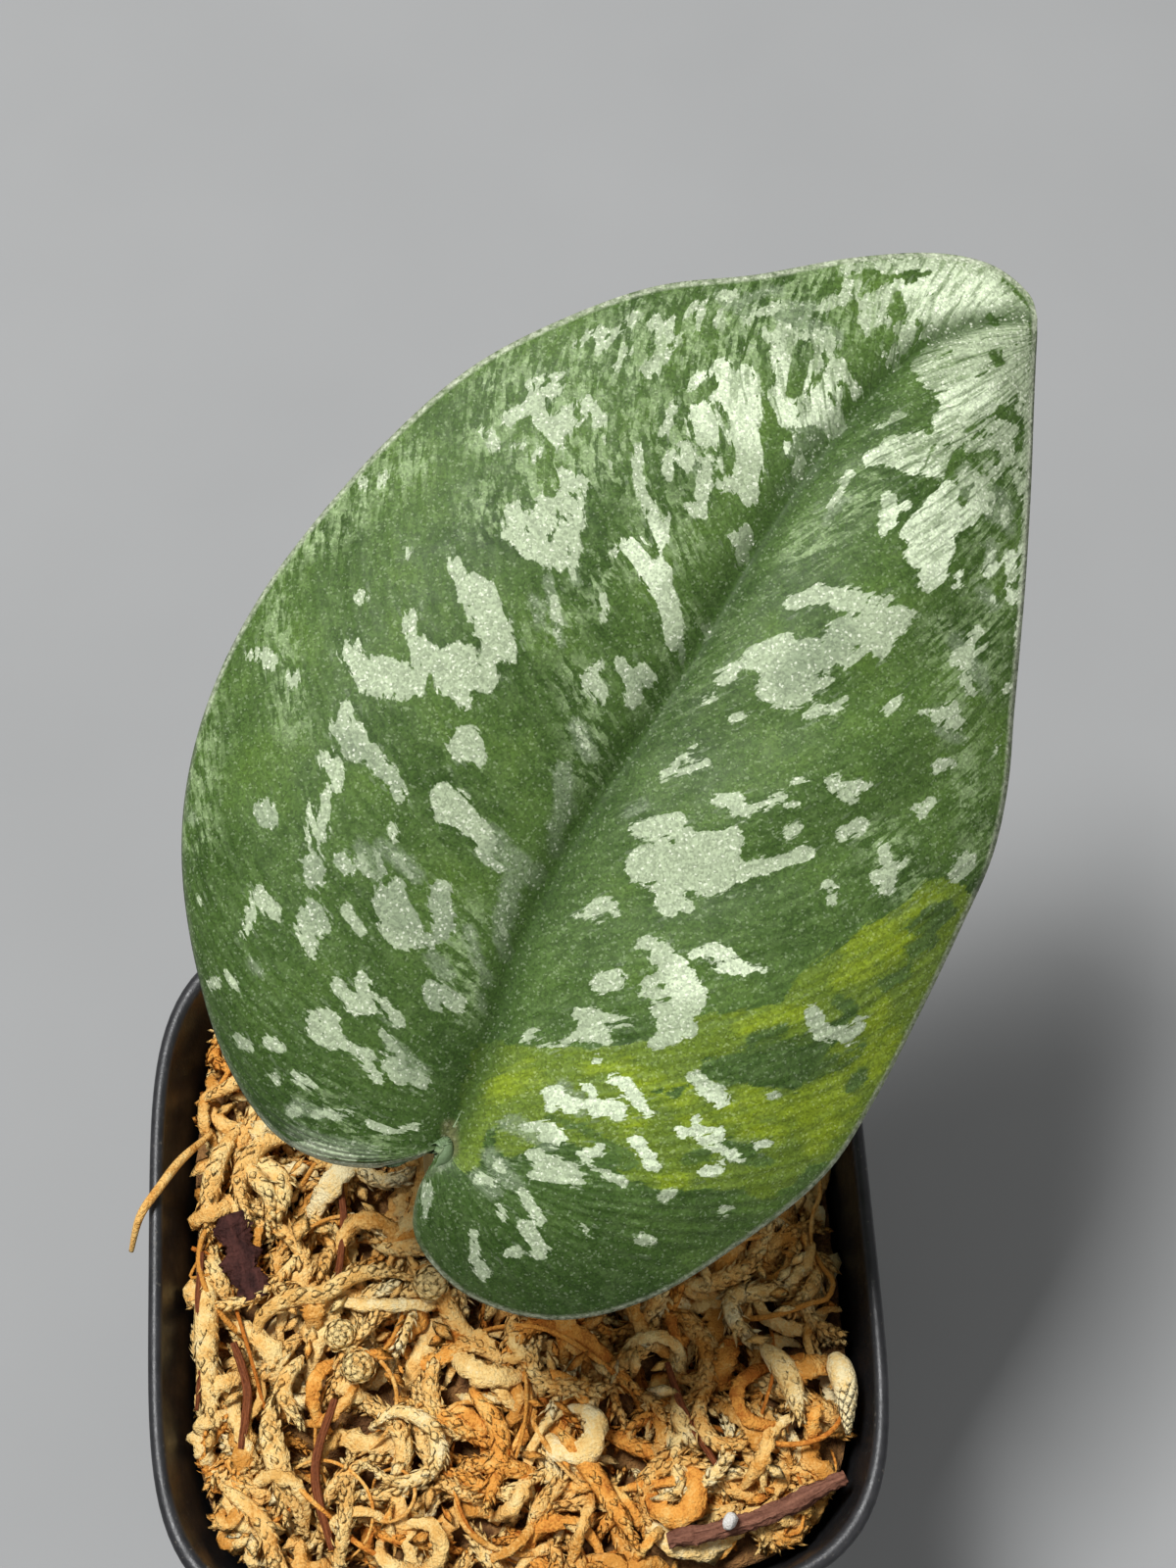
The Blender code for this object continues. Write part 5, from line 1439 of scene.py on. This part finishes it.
def painted(strokes):
    """Brush strokes in millimetres on the flat blade."""
    return [(*on_blade(x0, y0), *on_blade(x1, y1), half * PIXEL_WIDTH)
            for x0, y0, x1, y1, half in strokes]


def stroke_field(spots, strokes):
    """How deep each spot is inside the nearest brush stroke, in millimetres."""
    best = np.full(len(spots), -3.0)
    for x0, y0, x1, y1, half in strokes:
        start, run = np.array((x0, y0)), np.array((x1 - x0, y1 - y0)) + 1e-6
        share = np.clip((spots - start) @ run / (run @ run), 0.0, 1.0)
        away = np.linalg.norm(spots - start - share[:, None] * run, axis=1)
        best = np.maximum(best, half - away)
    return best


def row_spacing(rows, side):
    """How far along the blade each row lies, measured half way out on one side."""
    marks = [0.0]
    for before, after in zip(rows, rows[1:]):
        gap = flat_spot(after, side, 0.5)[0] - flat_spot(before, side, 0.5)[0]
        marks.append(marks[-1] + gap.length)
    return marks


def vein_spread(rows, index, side, reach):
    """How far apart the veins are here, as a share of how far apart they are half way out."""
    before, after = rows[max(index - 1, 0)], rows[min(index + 1, len(rows) - 1)]
    gaps = [(flat_spot(after, side, r)[0] - flat_spot(before, side, r)[0]).length
            for r in (reach, 0.5)]
    return min(gaps[0] / max(gaps[1], 0.05), 1.0) * min(gaps[1] / 0.3, 1.0)


def make_blade_shape():
    """The upper skin as one grid, with its veins as a UV map and its brush strokes as attributes."""
    shape = bmesh.new()
    veins = shape.loops.layers.uv.new("veins")
    bmesh.ops.create_grid(shape, x_segments=BLADE_COLUMNS, y_segments=BLADE_ROWS, size=0.5,
                          calc_uvs=True)
    rows = [blade_row(row / BLADE_ROWS) for row in range(BLADE_ROWS + 1)]
    marks = {side: row_spacing(rows, side) for side in (-1, 1)}
    spots, outs = [], []
    for vert in shape.verts:
        across, share = vert.co.x + 0.5, vert.co.y + 0.5
        index = round(share * BLADE_ROWS)
        side = 1 if across > 0.5 else -1
        reach = abs(across - 0.5) * 2
        spot, _, width = flat_spot(rows[index], side, reach)
        spread = vein_spread(rows, index, side, reach)
        height = blade_relief(side, reach, width, spot.y)
        height += fine_relief(side, reach, width, marks[side][index], spread, rows[index][0].y)
        vert.co = place_on_blade(spot, height)
        spots.append(spot)
        outs.append((reach * width, spread))
    spots = np.array(spots)
    margins = [[flat_spot(row, side, 1.0)[0] for row in rows] for side in (-1, 1)]
    outline = [(*a, *b, 0.0) for margin in margins for a, b in zip(margin, margin[1:])]
    fields = {name: stroke_field(spots, painted(strokes)) for name, strokes in VARIEGATION_AND_PAINTED_LIGHT.items()}
    fields.update({"from_midrib": [o[0] for o in outs], "spread": [o[1] for o in outs],
                   "from_margin": -stroke_field(spots, outline), "to_tip": spots[:, 1]})
    for name, values in fields.items():
        layer = shape.verts.layers.float.new(name)
        for vert, value in zip(shape.verts, values):
            vert[layer] = value
    for face in shape.faces:
        side = 1 if sum(loop[veins].uv.x for loop in face.loops) > 2.0 else -1
        for loop in face.loops:
            across, share = loop[veins].uv
            index = round(share * BLADE_ROWS)
            _, _, width = flat_spot(rows[index], side, 0.5)
            out = abs(across - 0.5) * 2 * width
            swept = VEIN_SWEEPS[side] * math.exp(-out / VEIN_SWEEP_REACH)
            along = marks[side][index] - swept + (RIGHT_VEINS_START if side > 0 else 0.0)
            loop[veins].uv = (out * side * MM, along * MM)
    return shape


def make_vein_group():
    """1 on the thin side veins, spaced along the blade and slightly wavy."""
    first = {"Vector": None, "Warp": 0.0, "Width": 0.3}
    group, given, result = make_group("side_veins", first, "Mask")
    along = add_node(group, "SeparateXYZ", {0: given["Vector"]}).outputs[1]
    steps = maths(group, "ADD", maths(group, "DIVIDE", along, SIDE_VEIN_STEP * MM), given["Warp"])
    away = maths(group, "MULTIPLY", maths(group, "PINGPONG", steps, 0.5), SIDE_VEIN_STEP)
    inner = maths(group, "MULTIPLY", given["Width"], 0.4)
    group.links.new(maths(group, "SUBTRACT", 1.0, step_up(group, away, inner, given["Width"])), result)
    return group


vein_group = make_vein_group()


def vein_lines(tree, veins, warp, width):
    made = tree.nodes.new("ShaderNodeGroup")
    made.node_tree = vein_group
    tree.links.new(veins, made.inputs["Vector"])
    tree.links.new(warp, made.inputs["Warp"])
    made.inputs["Width"].default_value = width
    return made.outputs[0]


def clonal_blocks(tree, veins, length, width):
    """A random level for each small block of leaf cells, longer along the veins than across."""
    size = add_node(tree, "CombineXYZ", {0: length * MM, 1: width * MM, 2: 1.0}).outputs[0]
    stretched = add_node(tree, "VectorMath", {0: veins, 1: size}, operation="DIVIDE").outputs[0]
    wobble = add_node(tree, "TexNoise", {"Vector": stretched, "Scale": 1.3, "Detail": 2.0})
    inputs = {0: wobble.outputs["Color"], 1: (0.7, 0.7, 0.0), 2: stretched}
    moved = add_node(tree, "VectorMath", inputs, operation="MULTIPLY_ADD").outputs[0]
    cells = add_node(tree, "TexVoronoi", {"Vector": moved, "Scale": 1.0},
                     voronoi_dimensions="2D", distance="CHEBYCHEV")
    return add_node(tree, "SeparateColor", {0: cells.outputs["Color"]}).outputs[0]


def make_leaf_top():
    """The painted layers of the upper skin, from the green ground up to the glinting cells."""
    material, tree, shader, place = new_material("leaf_upper_skin")
    veins = add_node(tree, "UVMap", uv_map="veins").outputs["UV"]
    field = {name: add_node(tree, "Attribute", attribute_name=name).outputs["Fac"]
             for name in (*VARIEGATION_AND_PAINTED_LIGHT, "from_midrib", "from_margin", "spread", "to_tip")}

    def both(a, b):
        return maths(tree, "MULTIPLY", a, b)

    def scaled(value, factor, plus=0.0):
        return maths(tree, "MULTIPLY_ADD", value, factor, plus)

    def except_in(value, hole):
        return both(value, maths(tree, "SUBTRACT", 1.0, hole))

    def inside(name, low, high):
        return step_up(tree, field[name], low, high)

    blocks = clonal_blocks(tree, veins, *CELL_BLOCK)
    small_blocks = clonal_blocks(tree, veins, *SMALL_CELL_BLOCK)
    nicks = grain(tree, place, 0.3, -0.07, 0.07)
    frayed = maths(tree, "ADD", scaled(blocks, 0.42, -0.18), scaled(small_blocks, 0.2, nicks))
    streaks = grain(tree, veins, 1.0, along=2.8, across=0.8)
    fine_streaks = grain(tree, veins, 0.32, along=2.2, across=0.8)

    def edge(name, low, high, share=1.0):
        return step_up(tree, scaled(frayed, share, field[name]), low, high)

    # the green ground, deeper and more vivid by turns, with painted shade darkening the lobes
    mottle = scaled(blocks, 0.28, grain(tree, place, 7.0, -0.35, 0.65))
    deep = scaled(streaks, 0.3, scaled(grain(tree, place, 0.28), 0.35, mottle))
    colour = mix_colours(tree, step_up(tree, deep, -0.15, 0.95), LEAF_DEEP, LEAF_GREEN)
    vivid = both(step_up(tree, mottle, 0.3, 0.85), inside("from_midrib", 1.5, 6.0))
    colour = mix_colours(tree, vivid, colour, LEAF_VIVID)
    # painted shade on the lobes
    lobe_shade = maths(tree, "SUBTRACT", 1.0, inside("to_tip", -6.0, 10.0))
    colour = mix_colours(tree, scaled(lobe_shade, 0.8), colour, LEAF_DEEP)

    # the lime sector
    dark = both(edge("dark", -0.2, 0.2), scaled(blocks, 0.3, 0.7))
    olive = except_in(both(edge("olive", -0.12, 0.14), scaled(streaks, 0.4, 0.66)), dark)
    colour = mix_colours(tree, olive, colour, LEAF_OLIVE)
    lime = step_up(tree, scaled(streaks, 0.9, field["lime"]), -0.6, 1.0)
    lime = both(both(lime, olive), scaled(small_blocks, 0.45, 0.6))
    colour = mix_colours(tree, lime, colour, LEAF_LIME)

    # mist, where the air under the skin lies in small blocks, flecks and faint satin
    haze = scaled(fine_streaks, 0.05, scaled(streaks, 0.08))
    haze = scaled(small_blocks, 0.35, scaled(blocks, 0.45, haze))
    haze = step_up(tree, scaled(grain(tree, place, 1.1), 0.45, haze), 0.52, 0.96)
    misty = scaled(inside("mist", -2.2, 1.2), 0.80, 0.10)
    colour = mix_colours(tree, both(haze, misty), colour, LEAF_MIST)
    flecks = both(inside("silver", -1.6, -0.4), step_up(tree, small_blocks, 0.93, 0.97))
    colour = mix_colours(tree, scaled(flecks, 0.35), colour, LEAF_DIM_SILVER_AND_SHADE)
    satin = both(edge("satin", -0.30, 0.30), grain(tree, place, 0.5, 0.55, 1.0))
    satin = both(satin, scaled(fine_streaks, 0.5, 0.5))
    colour = mix_colours(tree, satin, colour, LEAF_DIM_SILVER_AND_SHADE)

    # silver that stops at the side veins, in three levels of painted light and shade: shaded, plain and
    # lit
    lines = vein_lines(tree, veins, grain(tree, place, 6.0, -0.25, 0.25), 0.17)
    lines = both(lines, step_up(tree, grain(tree, place, 3.0), 0.25, 0.6))
    at_tip = inside("to_tip", 58.0, 68.0)
    lines = both(both(lines, scaled(at_tip, 0.5, 0.1)), inside("spread", 0.35, 0.8))
    silver = except_in(except_in(edge("silver", -0.05, 0.09), lines),
                       edge("island", -0.05, 0.15, 0.5))
    seams = both(step_up(tree, streaks, 0.45, 0.75), at_tip)
    silver = except_in(silver, scaled(seams, 0.55))
    colour = mix_colours(tree, scaled(lines, 0.4), colour, LEAF_DEEP)
    lit = maths(tree, "SUBTRACT", inside("lit_strokes", -2.0, 1.0), inside("shady", -2.0, 1.0))
    gleam = scaled(grain(tree, place, 2.4), 0.35, scaled(lit, 0.8, 0.3))
    # the sheen is painted light: duller where shade is painted, brighter where light is painted
    sheen = mix_colours(tree, step_up(tree, gleam, -0.75, 0.3), LEAF_DIM_SILVER_AND_SHADE, LEAF_SILVER_PLAIN)
    sheen = mix_colours(tree, step_up(tree, gleam, 0.4, 1.3), sheen, LEAF_SILVER_LIT)
    colour = mix_colours(tree, silver, colour, sheen)

    # the midrib darkened as painted shade in its channel, the pale margin, partly its own colour and
    # partly a painted highlight on the lit edge and left out where shade is painted, and the end of the
    # stalk
    midrib_shade = maths(tree, "SUBTRACT", 1.0, inside("from_midrib", 0.1, 2.6))
    colour = mix_colours(tree, scaled(midrib_shade, 0.8), colour, LEAF_DEEP)
    from_edge = scaled(inside("to_tip", 34.0, 50.0), -0.12, field["from_margin"])
    margin = except_in(grain(tree, place, 0.5, 0.15, 1.0), step_up(tree, from_edge, 0.16, 0.50))
    # the pale margin is left out where shade is painted
    margin = except_in(margin, scaled(inside("shady", -1.6, 0.0), 0.85))
    colour = mix_colours(tree, margin, colour, LEAF_PALE_RIM_AND_HIGHLIGHT)
    stalk_end = both(inside("stalk_end", -0.35, 0.35), grain(tree, place, 0.6, 0.6, 1.0))
    colour = mix_colours(tree, stalk_end, colour, LEAF_STALK_END)

    # the cells of the skin glint one by one: painted glints in the colour, over a bump for each cell
    cells = add_node(tree, "TexVoronoi", {"Vector": place, "Scale": 1.0 / (SKIN_CELL * MM)})
    glitter = add_node(tree, "SeparateColor", {0: cells.outputs["Color"]}).outputs[0]
    shades = add_node(tree, "MapRange", {"Value": glitter, "To Min": 0.68, "To Max": 1.26})
    satiny = maths(tree, "MAXIMUM", silver, scaled(satin, 0.5))
    sparkle = both(step_up(tree, glitter, 0.89, 0.97), scaled(satiny, 0.45, 0.09))
    shaded = add_node(tree, "VectorMath", {0: colour, 3: shades.outputs[0]}, operation="SCALE")
    colour = mix_colours(tree, sparkle, shaded.outputs[0], LEAF_GLINT)
    feed(tree, shader, Base_Color=colour, Specular_IOR_Level=0.16,
         Roughness=grain(tree, place, 1.5, 0.46, 0.58),
         Normal=bump(tree, scaled(lines, -1.5, glitter), 0.020))
    return material


def make_leaf_under():
    material, tree, shader, place = new_material("leaf_under_skin")
    veins = add_node(tree, "UVMap", uv_map="veins").outputs["UV"]
    lines = vein_lines(tree, veins, grain(tree, place, 6.0, -0.2, 0.2), 0.5)
    colour = mix_colours(tree, maths(tree, "MULTIPLY", lines, 0.6), UNDERSIDE, UNDERSIDE_VEIN)
    cloud = grain(tree, veins, 1.0, 0.0, 0.6, along=6.0, across=2.0)
    colour = mix_colours(tree, cloud, colour, UNDERSIDE_CLOUD)
    feed(tree, shader, Base_Color=colour, Roughness=0.58,
         Normal=bump(tree, maths(tree, "ADD", lines, grain(tree, place, 0.3, 0.0, 0.4)), 0.08))
    return material


def make_leaf_rim():
    material, tree, shader, place = new_material("leaf_rim_skin")
    # the cut edge is pale: partly its own colour and partly painted light on an edge that faces away
    # from the lamp
    colour = mix_colours(tree, grain(tree, place, 0.8), RIM_SHADE, LEAF_PALE_RIM_AND_HIGHLIGHT)
    feed(tree, shader, Base_Color=colour, Roughness=0.5)
    return material


def make_blade():
    """The finished blade: the upper skin given its thickness, an underside and a rim."""
    skins = [make_leaf_top(), make_leaf_under(), make_leaf_rim()]
    blade = make_piece("leaf_lamina", make_blade_shape(), skins, "leaf", "leaf_blade",
                       sharp_angle=180.0)
    if blade.data.polygons[0].normal.dot(OUTWARD) < 0:
        blade.data.flip_normals()
    body = blade.modifiers.new("thickness", "SOLIDIFY")
    body.thickness = BLADE_THICKNESS * MM
    body.offset = -1.0
    body.use_even_offset = False
    body.material_offset = 1
    body.material_offset_rim = 2


make_blade()


# Under the blade the midrib stands proud as a tapering rib, from the stalk to near the tip. It is
# of the same flesh as the blade, and sits half sunk in its underside all the way.
RIB_MARKS = 14
RIB_START = 0.62
RIB_RUN = 0.575
RIB_RADIUS = 1.15
RIB_NARROWS = 0.95


def make_midrib():
    route, radii = [], []
    for mark in range(RIB_MARKS + 1):
        row = blade_row(RIB_START - RIB_RUN * mark / RIB_MARKS)
        spot, _, width = flat_spot(row, 1, 0.0)
        height = blade_relief(1, 0.0, width, spot.y) - 0.75 * min(1.0, width / 12.0)
        radius = RIB_RADIUS - RIB_NARROWS * mark / RIB_MARKS
        route.append(place_on_blade(spot, height) - OUTWARD * (BLADE_THICKNESS + 0.35 * radius))
        radii.append(radius)
    skin = make_plant_skin("midrib_skin", UNDERSIDE, UNDERSIDE_VEIN, 0.5)
    make_piece("leaf_midrib", tube(route, radii, sides=16, rings=90), [skin], "leaf")


make_midrib()


# The plant stands on a plain pale floor, in one high soft light from the left and a weak fill. Each
# light is its direction, its distance and size in metres, and its power in watts.
VIEW_ELEVATION = 66.26
VIEW_AZIMUTH = -0.64
VIEW_ROLL = -3.15
VIEW_DISTANCE = 264.1
VIEW_TARGET = Vector((10.36, 47.30, RIM_TOP))
LENS = 58.5
SENSOR = 36.0
KEY_LIGHT = (Vector((-0.25, 0.18, 1.0)), 0.9, 0.22, 9.8)
FILL_LIGHT = (Vector((0.7, -0.6, 0.8)), 1.2, 0.9, 1.5)
LIGHTS_AIM = Vector((0.0, 0.01, 0.08))
ROOM_GREY = (0.66, 0.66, 0.66, 1.0)
ROOM_STRENGTH = 0.34
FLOOR_HALF = 8.0
FLOOR_GREY = (0.330, 0.335, 0.337)
FLOOR_PALE = (0.350, 0.355, 0.357)


def make_floor():
    shape = bmesh.new()
    bmesh.ops.create_grid(shape, x_segments=2, y_segments=2, size=FLOOR_HALF)
    mesh = bpy.data.meshes.new("floor")
    shape.to_mesh(mesh)
    shape.free()
    material, tree, shader, place = new_material("floor_matt")
    clouds = grain(tree, place, 60.0)
    feed(tree, shader, Base_Color=mix_colours(tree, clouds, FLOOR_GREY, FLOOR_PALE),
         Roughness=0.9)
    mesh.materials.append(material)
    floor = bpy.data.objects.new("floor", mesh)
    bpy.context.scene.collection.objects.link(floor)


def add_light(name, direction, distance, size, watts):
    lamp = bpy.data.lights.new(name, "AREA")
    lamp.size = size
    lamp.energy = watts
    item = bpy.data.objects.new(name, lamp)
    bpy.context.scene.collection.objects.link(item)
    item.location = LIGHTS_AIM + direction.normalized() * distance
    item.rotation_euler = direction.to_track_quat("Z", "Y").to_euler()


def add_camera():
    rise, turn, roll = (math.radians(a) for a in (VIEW_ELEVATION, VIEW_AZIMUTH, VIEW_ROLL))
    back = Vector((math.sin(turn) * math.cos(rise), -math.cos(turn) * math.cos(rise), math.sin(rise)))
    right = Vector((math.cos(turn), math.sin(turn), 0.0))
    up = back.cross(right)
    right, up = (right * math.cos(roll) + up * math.sin(roll),
                 up * math.cos(roll) - right * math.sin(roll))
    lens = bpy.data.cameras.new("camera")
    lens.lens = LENS
    lens.sensor_fit = "VERTICAL"
    lens.sensor_height = SENSOR
    lens.clip_start = 0.01
    camera = bpy.data.objects.new("camera", lens)
    bpy.context.scene.collection.objects.link(camera)
    place = Matrix.Translation((VIEW_TARGET + back * VIEW_DISTANCE) * MM)
    camera.matrix_world = place @ Matrix((right, up, back)).transposed().to_4x4()
    bpy.context.scene.camera = camera


def light_the_room():
    world = bpy.data.worlds.new("room")
    world.use_nodes = True
    sky = world.node_tree.nodes["Background"]
    sky.inputs["Color"].default_value = ROOM_GREY
    sky.inputs["Strength"].default_value = ROOM_STRENGTH
    bpy.context.scene.world = world
    bpy.context.scene.view_settings.view_transform = "Standard"
    add_light("key", *KEY_LIGHT)
    add_light("fill", *FILL_LIGHT)


make_floor()
light_the_room()
add_camera()
